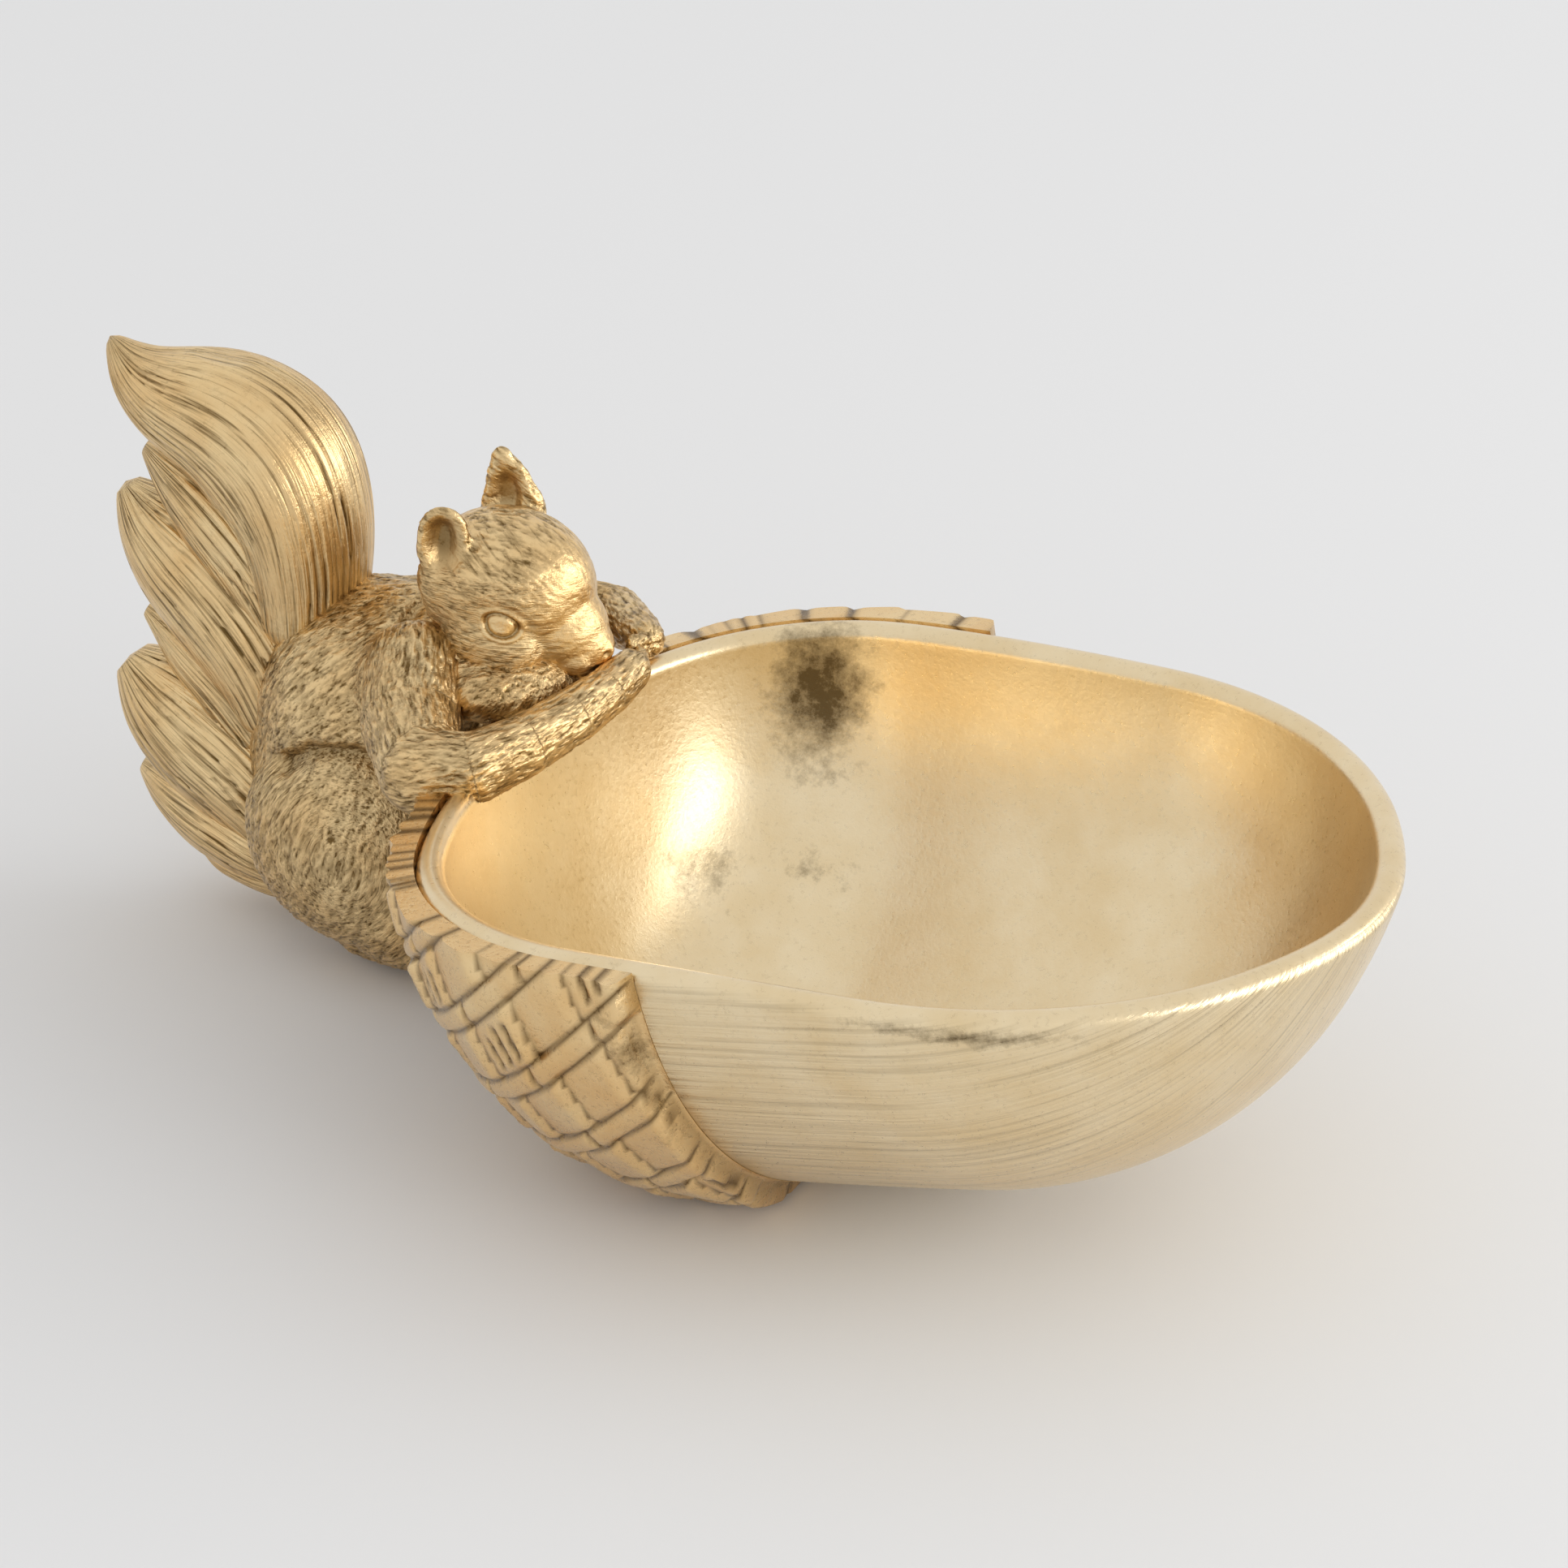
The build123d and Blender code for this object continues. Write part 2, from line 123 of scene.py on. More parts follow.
# The rim's arc, seen from the side, goes through three points.
def rim_height(x):
    (x1, z1), (x2, z2), (x3, z3) = rim_points
    lines = np.array(((x2 - x1, z2 - z1), (x3 - x2, z3 - z2)))
    sums = np.array(((x2**2 - x1**2 + z2**2 - z1**2) / 2, (x3**2 - x2**2 + z3**2 - z2**2) / 2))
    middle_x, middle_z = np.linalg.solve(lines, sums)
    radius = math.hypot(x1 - middle_x, z1 - middle_z)
    return middle_z + np.sqrt(radius**2 - (np.asarray(x) - middle_x) ** 2)


# Arcs of one side of the outline: centre outwards, centre upwards, radius, first and last turn.
def outline_arcs(arc_shares, closed):
    centre_out, centre_up, turn = 0.0, nut_radius, 0.0
    arcs = []
    for radius_share, degrees in arc_shares:
        radius = radius_share * nut_radius
        change = arcs[-1][2] - radius if arcs else 0.0
        centre_out += change * math.sin(turn)
        centre_up += change * math.cos(turn) if arcs else -radius
        arcs.append((centre_out, centre_up, radius, turn, turn + math.radians(degrees)))
        turn = arcs[-1][4]
    if closed:
        radius = arcs[-1][2] + centre_up / math.cos(turn)
        arcs.append((centre_out - centre_up * math.tan(turn), 0.0, radius, turn, math.pi / 2))
    return arcs


tip_arcs = outline_arcs(tip_arc_shares, False)
stem_arcs = outline_arcs(stem_arc_shares, True)


# The acorn's radius at places along its axis, with its skin moved out by extra.
def acorn_radius(along, extra):
    radii = np.zeros_like(along)
    for side, arcs in ((1, tip_arcs), (-1, stem_arcs)):
        out = side * (along - crown)
        start = 0.0
        for centre_out, centre_up, radius, first, last in arcs:
            end = centre_out + (radius + extra) * math.sin(last)
            here = (out >= start) & (out < end)
            across = np.maximum((radius + extra) ** 2 - (out[here] - centre_out) ** 2, 0)
            radii[here] = centre_up + np.sqrt(across)
            start = end
    return radii


# Where points lie about the nut's axis: how far along it, and their offset square to it.
def about_axis(points):
    offset = points - axis_foot
    along = offset @ axis_way
    return along, offset - along[:, None] * axis_way


# Points where rays from the bowl's middle meet the acorn's skin.
def acorn_skin(ways, extra):
    start = np.array((bowl_middle_x, 0.0, float(rim_height(bowl_middle_x))))
    low, high = np.zeros(len(ways)), np.full(len(ways), 3 * nut_radius)
    for halving in range(skin_halvings):
        reach = (low + high) / 2
        along, out = about_axis(start + ways * reach[:, None])
        inside = np.linalg.norm(out, axis=1) < acorn_radius(along, extra)
        low, high = np.where(inside, reach, low), np.where(inside, high, reach)
    return start + ways * low[:, None]


# Ways of rays from their turns about the upright and their rises, in radians.
def ray_ways(turns, rises):
    return np.stack((np.cos(turns) * np.cos(rises), np.sin(turns) * np.cos(rises), np.sin(rises)), axis=1)


# How steeply each ray has to rise to meet the skin a little below the rim.
def rim_rises(turns, extra, below):
    low, high = np.full(len(turns), -steepest_rise), np.full(len(turns), steepest_rise)
    for halving in range(rim_halvings):
        rises = (low + high) / 2
        points = acorn_skin(ray_ways(turns, rises), extra)
        under = points[:, 2] < rim_height(points[:, 0]) - below
        low, high = np.where(under, rises, low), np.where(under, high, rises)
    return low


# One wall of the bowl: a sheet wrapped round from the lip down to the foot and rounded at the lip.
def bowl_wall(bm, extra, far_extra):
    verts = bmesh.ops.create_grid(bm, x_segments=bowl_turns, y_segments=bowl_rings, size=1)["verts"]
    unit = np.array([vert.co for vert in verts])
    place = np.rint((unit[:, 0] + 1) / 2 * bowl_turns).astype(int) % bowl_turns
    round_turns = np.arange(bowl_turns) * math.tau / bowl_turns
    near_round = rim_rises(round_turns, extra, lip_round)
    far_round = rim_rises(round_turns, far_extra, lip_round)
    turns, near_rises = round_turns[place], near_round[place]
    rings = (1 - unit[:, 1]) / 2 * bowl_rings
    near = acorn_skin(ray_ways(round_turns, near_round), extra)[place]
    far = acorn_skin(ray_ways(round_turns, far_round), far_extra)[place]
    down = np.clip((rings - lip_rings) / (bowl_rings - lip_rings), 0, 1)
    skin = acorn_skin(ray_ways(turns, near_rises + (-math.pi / 2 - near_rises) * down), extra)
    bend = (1 - np.clip(rings / lip_rings, 0, 1)) * math.pi / 2
    lip = (near + far) / 2 + (near - far) / 2 * np.cos(bend)[:, None]
    lip[:, 2] += lip_round * np.sin(bend)
    points = np.where((rings < lip_rings)[:, None], lip, skin)
    points[:, 2] = np.maximum(points[:, 2], foot_height)
    for vert, point in zip(verts, points):
        vert.co = point


bm = bmesh.new()
bowl_wall(bm, 0.0, -wall)
bowl_wall(bm, -wall, 0.0)
bmesh.ops.remove_doubles(bm, verts=bm.verts, dist=0.01 * mm)
bmesh.ops.recalc_face_normals(bm, faces=bm.faces)
bowl_mesh = bpy.data.meshes.new("nut_bowl_leafed")
bm.to_mesh(bowl_mesh)
bm.free()


# A casting as a piece of the scene: it rides on the root body in place of its CAD node.
def piece(name, mesh, node):
    for polygon in mesh.polygons:
        polygon.use_smooth = True
    made = bpy.data.objects.new(name, mesh)
    bpy.context.scene.collection.objects.link(made)
    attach(made, "root")
    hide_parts(node)


# A mesh's own layers: a value or a stroke way for each point, and its points as an array.
def point_values(mesh, name, values):
    mesh.attributes.new(name, "FLOAT", "POINT").data.foreach_set("value", values)


def point_ways(mesh, ways):
    mesh.attributes.new("stroke_way", "FLOAT_VECTOR", "POINT").data.foreach_set("vector", ways.ravel())


def mesh_points(mesh, what="co"):
    values = np.empty(3 * len(mesh.vertices))
    mesh.vertices.foreach_get(what, values)
    return values.reshape(-1, 3)


piece("nut_bowl_leafed", bowl_mesh, "nut_bowl")

# Dark patches in the leaf: middle, reach and strength of each. Those inside the bowl are painted dark
# reflections; those on the outside are leaf rubbed through to the dark ground.
bowl_wear_and_painted_reflection = (((-17.5, 53.5, 47.5), (8.5, 10.0, 12.0), 1.75), ((-16.0, 50.5, 36.5), (9.0, 9.0, 6.0), 0.8),
               ((-28.0, 28.5, 23.2), (8.0, 9.0, 6.0), 0.85), ((-12.0, 40.0, 22.0), (14.0, 4.0, 4.0), 0.5),
               ((63.0, -55.5, 60.3), (24.0, 9.0, 1.7), 1.15), ((1.0, -62.0, 51.0), (5.0, 6.0, 8.0), 0.7))


# How dark each place is from the patches near it: worn leaf, and painted dark reflection inside the bowl.
def wear_and_reflection_by(places, patches):
    wear_and_reflection = np.zeros(len(places))
    for middle, reach, strength in patches:
        distance = ((places - np.array(middle) * mm) / (np.array(reach) * mm)) ** 2
        wear_and_reflection = np.maximum(wear_and_reflection, strength * np.exp(-distance.sum(axis=1)))
    return wear_and_reflection


# The grain's strokes run along the nut, on its outside below the lip only.
skin_inset = 0.9 * mm
skin_blend = 0.5 * mm
lip_blend = 2 * mm
grain_strength = 0.26
grain_stretch = 26
grain_crowding = 1.5
places = mesh_points(bowl_mesh)
offset = places - axis_foot
along, out = about_axis(places)
outside = np.clip((np.linalg.norm(out, axis=1) - acorn_radius(along, -skin_inset)) / skin_blend, 0, 1)
outside *= np.clip((rim_height(places[:, 0]) - places[:, 2]) / lip_blend, 0, 1)
ring = np.arctan2(offset[:, 1], -offset @ axis_up) * nut_radius
point_values(bowl_mesh, "carved", np.zeros(len(places)))
point_values(bowl_mesh, "stroked", grain_strength * outside)
point_ways(bowl_mesh, np.stack((along / grain_stretch, grain_crowding * ring, 0 * ring), axis=1))
# Dark patches: painted dark reflections inside the bowl, and worn leaf on its outside.
point_values(bowl_mesh, "wear_and_reflection", wear_and_reflection_by(places, bowl_wear_and_painted_reflection))


def add_sockets(group, side, sockets):
    for name, kind in sockets:
        group.interface.new_socket(name=name, in_out=side, socket_type="NodeSocket" + kind)


# Gold leaf for every casting: paler and darker clouds, a fine grain, and a dark tone rubbed into what is
# carved and laid over the dark patches, which are worn leaf and, inside the bowl, painted dark reflections.
grain_roughness = 0.25
leaf = bpy.data.node_groups.new("gold_leaf", "ShaderNodeTree")
add_sockets(leaf, "INPUT", (("Where", "Vector"), ("Darkened", "Float"), ("Leaf", "Color"), ("Pale", "Color"),
                            ("Dark Tone", "Color"), ("Speckle", "Float"), ("Polish", "Float")))
add_sockets(leaf, "OUTPUT", (("Colour", "Color"), ("Roughness", "Float"), ("Height", "Float")))


# Feed a socket from another socket, or set its value.
def feed(tree, socket, source):
    if isinstance(source, bpy.types.NodeSocket):
        tree.links.new(source, socket)
    else:
        socket.default_value = source


def add_node(tree, kind, **inputs):
    made = tree.nodes.new(kind)
    for name, source in inputs.items():
        feed(tree, made.inputs[name.replace("_", " ")], source)
    return made


def add_math(tree, operation, *inputs):
    made = tree.nodes.new("ShaderNodeMath")
    made.operation = operation
    for socket, source in zip(made.inputs, inputs):
        feed(tree, socket, source)
    return made.outputs[0]


def mix_colour(tree, factor, first, second):
    mix = tree.nodes.new("ShaderNodeMix")
    mix.data_type = "RGBA"
    for source, socket in ((factor, "Factor_Float"), (first, "A_Color"), (second, "B_Color")):
        tree.links.new(source, next(i for i in mix.inputs if i.identifier == socket))
    return next(o for o in mix.outputs if o.identifier == "Result_Color")


leaf_in = leaf.nodes.new("NodeGroupInput").outputs
leaf_out = leaf.nodes.new("NodeGroupOutput").inputs
clouds = add_node(leaf, "ShaderNodeTexNoise", Vector=leaf_in["Where"], Scale=70.0, Detail=4.0, Roughness=0.6)
grain = add_node(leaf, "ShaderNodeTexNoise", Vector=leaf_in["Where"], Scale=1100.0, Detail=3.0, Roughness=0.7)
cloud_share = add_node(leaf, "ShaderNodeMapRange", Value=clouds.outputs["Fac"], From_Min=0.35, From_Max=0.65)
grain_share = add_node(leaf, "ShaderNodeMapRange", Value=grain.outputs["Fac"], From_Min=0.44, From_Max=0.32)
tint = mix_colour(leaf, cloud_share.outputs["Result"], leaf_in["Leaf"], leaf_in["Pale"])
speckle = add_math(leaf, "MULTIPLY", grain_share.outputs["Result"], leaf_in["Speckle"])
dark = add_math(leaf, "ADD", speckle, leaf_in["Darkened"])
dark.node.use_clamp = True
rough = add_math(leaf, "MULTIPLY_ADD", grain.outputs["Fac"], grain_roughness, leaf_in["Polish"])
leaf.links.new(mix_colour(leaf, dark, tint, leaf_in["Dark Tone"]), leaf_out["Colour"])
leaf.links.new(rough, leaf_out["Roughness"])
leaf.links.new(grain.outputs["Fac"], leaf_out["Height"])

# Carved strokes: long fine strokes along the piece's own stroke way, and dark, speckled patches: worn leaf,
# and painted dark reflections inside the bowl.
patch_strength = 2.6
strokes = bpy.data.node_groups.new("carved_strokes", "ShaderNodeTree")
add_sockets(strokes, "INPUT", (("Where", "Vector"), ("Stroke Way", "Vector"), ("Stroked", "Float"),
                               ("Wear And Reflection", "Float"), ("Darkened", "Float")))
add_sockets(strokes, "OUTPUT", (("Darkened", "Float"), ("Height", "Float")))
strokes_in = strokes.nodes.new("NodeGroupInput").outputs
strokes_out = strokes.nodes.new("NodeGroupOutput").inputs
lines = add_node(strokes, "ShaderNodeTexNoise", Vector=strokes_in["Stroke Way"], Scale=420.0, Detail=3.0,
                 Roughness=0.6)
line_share = add_node(strokes, "ShaderNodeMapRange", Value=lines.outputs["Fac"], From_Min=0.49, From_Max=0.34)
line_height = add_math(strokes, "MULTIPLY", lines.outputs["Fac"], strokes_in["Stroked"])
patches = add_node(strokes, "ShaderNodeTexNoise", Vector=strokes_in["Where"], Scale=260.0, Detail=7.0,
                   Roughness=0.75)
wear_and_reflection_sum = add_math(strokes, "MULTIPLY_ADD", patches.outputs["Fac"], patch_strength, strokes_in["Wear And Reflection"])
wear_and_reflection_share = add_node(strokes, "ShaderNodeMapRange", Value=wear_and_reflection_sum, From_Min=1.75, From_Max=2.9)
streaked = add_math(strokes, "MULTIPLY_ADD", line_share.outputs["Result"], strokes_in["Stroked"],
                    wear_and_reflection_share.outputs["Result"])
strokes.links.new(add_math(strokes, "ADD", streaked, strokes_in["Darkened"]), strokes_out["Darkened"])
strokes.links.new(line_height, strokes_out["Height"])


# A leafed casting: metal with the leaf's clouds and grain. The mesh's own layers say what is carved,
# stroked, and darkened in patches by wear and by painted dark reflection, and which way the strokes run.
def leafed(name, colour, pale, dark_tone, speckle_share, polish, grain_depth, stroke_depth, lacquer):
    material = bpy.data.materials.new(name)
    material.use_nodes = True
    tree = material.node_tree
    shader = tree.nodes["Principled BSDF"]
    shader.inputs["Metallic"].default_value = 1.0
    shader.inputs["Coat Weight"].default_value = lacquer
    shader.inputs["Coat Roughness"].default_value = 0.28
    where = tree.nodes.new("ShaderNodeTexCoord").outputs["Object"]
    cut = tree.nodes.new("ShaderNodeGroup")
    cut.node_tree = strokes
    tree.links.new(where, cut.inputs["Where"])
    for layer, output, socket in (("carved", "Fac", "Darkened"), ("stroked", "Fac", "Stroked"),
                                  ("wear_and_reflection", "Fac", "Wear And Reflection"), ("stroke_way", "Vector", "Stroke Way")):
        reader = tree.nodes.new("ShaderNodeAttribute")
        reader.attribute_name = layer
        tree.links.new(reader.outputs[output], cut.inputs[socket])
    coat = tree.nodes.new("ShaderNodeGroup")
    coat.node_tree = leaf
    for socket, source in (("Where", where), ("Darkened", cut.outputs["Darkened"]), ("Leaf", colour),
                           ("Pale", pale), ("Dark Tone", dark_tone), ("Speckle", speckle_share),
                           ("Polish", polish)):
        feed(tree, coat.inputs[socket], source)
    tree.links.new(coat.outputs["Colour"], shader.inputs["Base Color"])
    tree.links.new(coat.outputs["Roughness"], shader.inputs["Roughness"])
    stroke_bump = add_node(tree, "ShaderNodeBump", Distance=stroke_depth, Height=cut.outputs["Height"])
    grain_bump = add_node(tree, "ShaderNodeBump", Distance=grain_depth, Height=coat.outputs["Height"],
                          Normal=stroke_bump.outputs["Normal"])
    tree.links.new(grain_bump.outputs["Normal"], shader.inputs["Normal"])
    return material


# The bowl's dark tone fills its grain and its dark patches: worn leaf outside, painted dark reflections
# inside.
bowl_leaf = leafed("bowl_gold_leaf", colour=(0.83, 0.65, 0.38, 1), pale=(0.89, 0.735, 0.48, 1),
                   dark_tone=(0.13, 0.085, 0.03, 1), speckle_share=0.12, polish=0.19,
                   grain_depth=0.05 * mm, stroke_depth=1.4 * mm, lacquer=0.5)
bowl_mesh.materials.append(bowl_leaf)

# Acorn cap: a cast shell over the stem half of the nut. Rows of staggered, slanting scales
# overlap towards the nut, each scale with short carved grooves and a plain bar beside it.
cap_edge = -1.5 * mm
cap_drop = 0.4 * mm
cap_seat = 0.05 * mm
cap_base = 2.6 * mm
scale_rise = 2.7 * mm
skin_least = 0.12 * mm
skin_most = cap_base + scale_rise + 0.3 * mm
row_pitch = 10.5 * mm
column_count = 23
bar_share = 0.30
bar_rows = 0.71
scale_skew = math.radians(36)
least_ring = 9 * mm
column_start = 0.3
row_lean = 0.30
lean_middle = 0.4
row_scatter = 0.2
# A scale's height over the base: least share, rise to its front, rounding of the front, and a bar's share.
scale_least, scale_ramp, front_round, bar_level = 0.42, 0.48, 0.13, 0.55
scale_step = 0.9 * mm
scale_tilt = 1.6 * mm
# The grooves: half widths and depths of the seams round each scale and of the marks carved on it.
seam_half = 0.5 * mm
bar_seam_half = 0.4 * mm
mark_half = 0.45 * mm
step_half = 0.7 * mm
seam_depth = 1.1 * mm
mark_depth = 1.0 * mm
mark_places = (0.24, 0.48, 0.72)
marked_share = 0.5
mark_start, start_scatter, mark_end, mark_taper, mark_drift = 0.08, 0.2, 0.90, 9, 0.08
# How dark the toning is in marks, steps and the free edge, and at most.
mark_tone, step_tone, edge_tone, most_tone = 1.4, 0.8, 0.45, 0.95
# The free edge is uneven: it stands back towards the underside, and each column by its own share.
edge_recede = 6.0 * mm
edge_jag = 3.0 * mm
edge_round = 0.9 * mm
edge_half = 0.6 * mm
stem_fade = 8 * mm
cap_cells = 148
cap_columns = 320
sharp_from = math.radians(48)
cap_rubbed = (((10.5, -63.5, 47.0), (5.0, 5.0, 4.0), 1.2), ((6.0, -64.5, 53.5), (3.0, 4.0, 3.0), 0.8),
              ((12.0, -58.0, 31.0), (5.0, 5.0, 4.0), 0.6))
front_turn = math.asin((cap_edge - crown) / tip_arcs[0][2])
cap_arcs = [(0.0, tip_arcs[0][1], tip_arcs[0][2], -front_turn, 0.0)] + stem_arcs
cap_ends = np.cumsum([0.0] + [(arc[2] + scale_rise) * (arc[4] - arc[3]) for arc in cap_arcs])


# Point of the cap's skin: a way back from its edge, a turn about the axis from below, and a height.
def cap_point(back, turn, height):
    index = np.clip(np.searchsorted(cap_ends, back, side="right") - 1, 0, len(cap_arcs) - 1)
    arcs = np.array(cap_arcs)[index]
    lean = arcs[:, 3] + (back - cap_ends[index]) / (arcs[:, 2] + scale_rise)
    along = crown - arcs[:, 0] - (arcs[:, 2] + height) * np.sin(lean)
    up = np.maximum(arcs[:, 1] + (arcs[:, 2] + height) * np.cos(lean), 0)
    across = np.array((0.0, 1.0, 0.0))
    ring = -np.cos(turn)[:, None] * axis_up + np.sin(turn)[:, None] * across
    return axis_foot + along[:, None] * axis_way + up[:, None] * ring


# How far round each ring of the cap reaches before it meets the rim. Behind the stem it closes.
def cap_reach(back):
    low, high = np.zeros(len(back)), np.full(len(back), math.pi)
    for halving in range(skin_halvings):
        middle = (low + high) / 2
        points = cap_point(back, middle, np.full(len(back), cap_base))
        under = points[:, 2] < rim_height(points[:, 0]) - cap_drop
        low, high = np.where(under, middle, low), np.where(under, high, middle)
    nearly_closed = math.pi - 0.02
    return np.where(low > nearly_closed, math.pi, low)


# A share from 0 to 1 that differs from place to place but is the same on every run.
def shuffled(first, second, salt):
    mixed = np.sin(first * 12.9898 + second * 78.233 + salt * 37.719) * 43758.5453
    return mixed - np.floor(mixed)


def groove(distance, half):
    return np.exp(-(distance / half) ** 2)


backs = np.linspace(0, cap_ends[-1], cap_cells)
reaches = cap_reach(backs)
bm = bmesh.new()
bmesh.ops.create_grid(bm, x_segments=cap_cells - 1, y_segments=cap_columns, size=1)
carved_layer = bm.verts.layers.float.new("carved")
back_layer = bm.verts.layers.float.new("back")
turn_layer = bm.verts.layers.float.new("turn")
unit = np.array([vert.co for vert in bm.verts])
station = np.rint((unit[:, 0] + 1) / 2 * (cap_cells - 1)).astype(int)
back = backs[station]
turn = unit[:, 1] * reaches[station]
ring_radius = np.linalg.norm(np.cross(cap_point(back, turn * 0, turn * 0) - axis_foot, axis_way), axis=1)
ring_radius = np.maximum(ring_radius, least_ring)
width = math.tau * ring_radius / column_count
# Each point's scale: tile is its column and way how far across it, row its row and front how far
# back from the front edge. The last share of each column is a bar.
slant = back / (math.tau * nut_radius) * column_count * math.tan(scale_skew)
share = turn / math.tau * column_count - slant + column_start
tile = np.floor(share)
way = share - tile
stagger = back / row_pitch + 0.5 * (tile % 2) + row_lean * (way - lean_middle)
stagger += row_scatter * (shuffled(tile, 0, 8) - 0.5)
row = np.floor(stagger)
front = stagger - row
in_tile = way < 1 - bar_share
across_tile = way / (1 - bar_share)
bar_way = stagger * bar_rows + shuffled(tile, 0, 3)
bar_gap = np.minimum(bar_way - np.floor(bar_way), 1 - bar_way + np.floor(bar_way)) * row_pitch / bar_rows
seam = np.maximum.reduce([groove(way * width, seam_half), groove((1 - way) * width, seam_half),
                          groove((way - 1 + bar_share) * width, seam_half),
                          groove(bar_gap, bar_seam_half) * ~in_tile])
marked = shuffled(tile, row, 0) < marked_share
mark = np.zeros(len(way))
for number, place in enumerate(mark_places):
    start = mark_start + start_scatter * shuffled(tile, row, number + 5)
    inside = np.clip((across_tile - start) * mark_taper, 0, 1)
    inside *= np.clip((mark_end - across_tile) * mark_taper, 0, 1)
    drift = mark_drift * (shuffled(tile, row, number + 9) - 0.5)
    cut = groove((front - place - drift) * row_pitch, mark_half)
    mark = np.maximum(mark, marked * in_tile * inside * cut)
# Height over the nut's skin: scales step up to their fronts, each a little tilted, and bars lie between.
ramp = np.where(in_tile, np.clip(1 - front, 0, 1) * np.clip(front / front_round, 0, 1), bar_level)
height = cap_base + scale_rise * (scale_least + scale_ramp * ramp)
height += (shuffled(tile, row, 1) - 0.5) * scale_step * in_tile
height += (shuffled(tile, row, 2) - 0.5) * scale_tilt * (way - 0.35) * in_tile
height -= seam_depth * seam + mark_depth * mark
edge_back = edge_recede * (1 - np.abs(turn) / reaches[station]) ** 3 + edge_jag * shuffled(tile, 0, 12)
height = skin_least + (height - skin_least) * np.clip((back - edge_back) / edge_round, 0, 1)
fade = np.clip((cap_ends[-1] - back) / stem_fade, 0, 1)
height = np.clip(cap_base + (height - cap_base) * fade, skin_least, skin_most)
step_dark = in_tile * groove((1 - front) * row_pitch, step_half)
carved = np.clip(seam + mark_tone * mark + step_tone * step_dark, 0, most_tone) * (back > edge_back)
carved = np.maximum(carved, edge_tone * groove(back - edge_back, edge_half))
column = np.rint((unit[:, 1] + 1) / 2 * cap_columns).astype(int)


# Soften the height by one cell either way, as a worn mould does.
def softened(values):
    grid = np.empty((cap_cells, cap_columns + 1))
    grid[station, column] = values
    grid[1:-1] = (grid[:-2] + 4 * grid[1:-1] + grid[2:]) / 6
    grid[:, 1:-1] = (grid[:, :-2] + 4 * grid[:, 1:-1] + grid[:, 2:]) / 6
    return grid[station, column]


points = cap_point(back, turn, softened(height))
points[:, 2] = np.maximum(points[:, 2], foot_height)
for vert, point, dark_share, back_way, turn_way in zip(bm.verts, points, carved, back, turn):
    vert.co = point
    vert[carved_layer] = dark_share
    vert[back_layer] = back_way
    vert[turn_layer] = turn_way
bmesh.ops.remove_doubles(bm, verts=bm.verts, dist=0.02 * mm)
shell = bmesh.ops.extrude_face_region(bm, geom=bm.faces[:], use_keep_orig=True)["geom"]
lining = [item for item in shell if isinstance(item, bmesh.types.BMVert)]
back = np.array([vert[back_layer] for vert in lining])
turn = np.array([vert[turn_layer] for vert in lining])
lining_points = cap_point(back, turn, np.full(len(back), cap_seat))
lining_points[:, 2] = np.maximum(lining_points[:, 2], foot_height)
for vert, point in zip(lining, lining_points):
    vert.co = point
bmesh.ops.recalc_face_normals(bm, faces=bm.faces)
cap_mesh = bpy.data.meshes.new("acorn_cap_leafed")
bm.to_mesh(cap_mesh)
bm.free()
piece("acorn_cap_leafed", cap_mesh, "acorn_cap")
cap_mesh.set_sharp_from_angle(angle=sharp_from)
point_values(cap_mesh, "wear_and_reflection", wear_and_reflection_by(mesh_points(cap_mesh), cap_rubbed))
cap_leaf = leafed("cap_gold_leaf", colour=(0.83, 0.55, 0.25, 1), pale=(0.90, 0.67, 0.36, 1),
                  dark_tone=(0.17, 0.10, 0.035, 1), speckle_share=0.25, polish=0.17,
                  grain_depth=0.12 * mm, stroke_depth=0.5 * mm, lacquer=0.1)
cap_mesh.materials.append(cap_leaf)

# Squirrel: cast in resin as a body, a head, two forelegs and a tail, pinned and glued together.
# Each is built up from rounded masses run together, then its fur is carved stroke by stroke.
# Places and radii of the masses are in mm, and y is counted from the squirrel's middle plane.
middle_y = 22.0
mass_spacing = 2.0
smoothing_share = 0.6
rim_sink = 0.8 * mm
cap_clear = 3.2 * mm
lip_sink = 1.5 * mm
lip_clear = 0.1 * mm
lip_reach = 5 * mm
fur_fineness = 3.2
fur_squeeze = 0.8
fur_stray = 0.16
stroke_sizes = (0.55, 1.25)
chance = np.random.default_rng(7)
fur_leaf = leafed("fur_gold_leaf", colour=(0.83, 0.565, 0.265, 1), pale=(0.90, 0.675, 0.36, 1),
                  dark_tone=(0.17, 0.10, 0.03, 1), speckle_share=0.14, polish=0.20,
                  grain_depth=0.12 * mm, stroke_depth=0.6 * mm, lacquer=0.1)


# A rounded mass: a ball stretched to three radii, leaned and turned by degrees.
def mass(bm, place, radii, lean=0.0, turn=0.0, turns=28):
    x, y, z = place
    shift = Matrix.Translation(Vector((x, middle_y + y, z)) * mm)
    turned_so = Euler((0, math.radians(lean), math.radians(turn))).to_matrix().to_4x4()
    matrix = shift @ turned_so @ Matrix.Diagonal((*(Vector(radii) * mm), 1))
    bmesh.ops.create_uvsphere(bm, u_segments=turns, v_segments=turns // 2 + 2, radius=1, matrix=matrix)


# A limb: round masses close together along a path, each place with its radius.
def masses_along(bm, path):
    for start, end in zip(path, path[1:]):
        steps = max(1, math.ceil(math.dist(start[:3], end[:3]) / mass_spacing))
        for step in range(steps + 1):
            x, y, z, radius = (a + (b - a) * step / steps for a, b in zip(start, end))
            mass(bm, (x, y, z), (radius, radius, radius), turns=14)


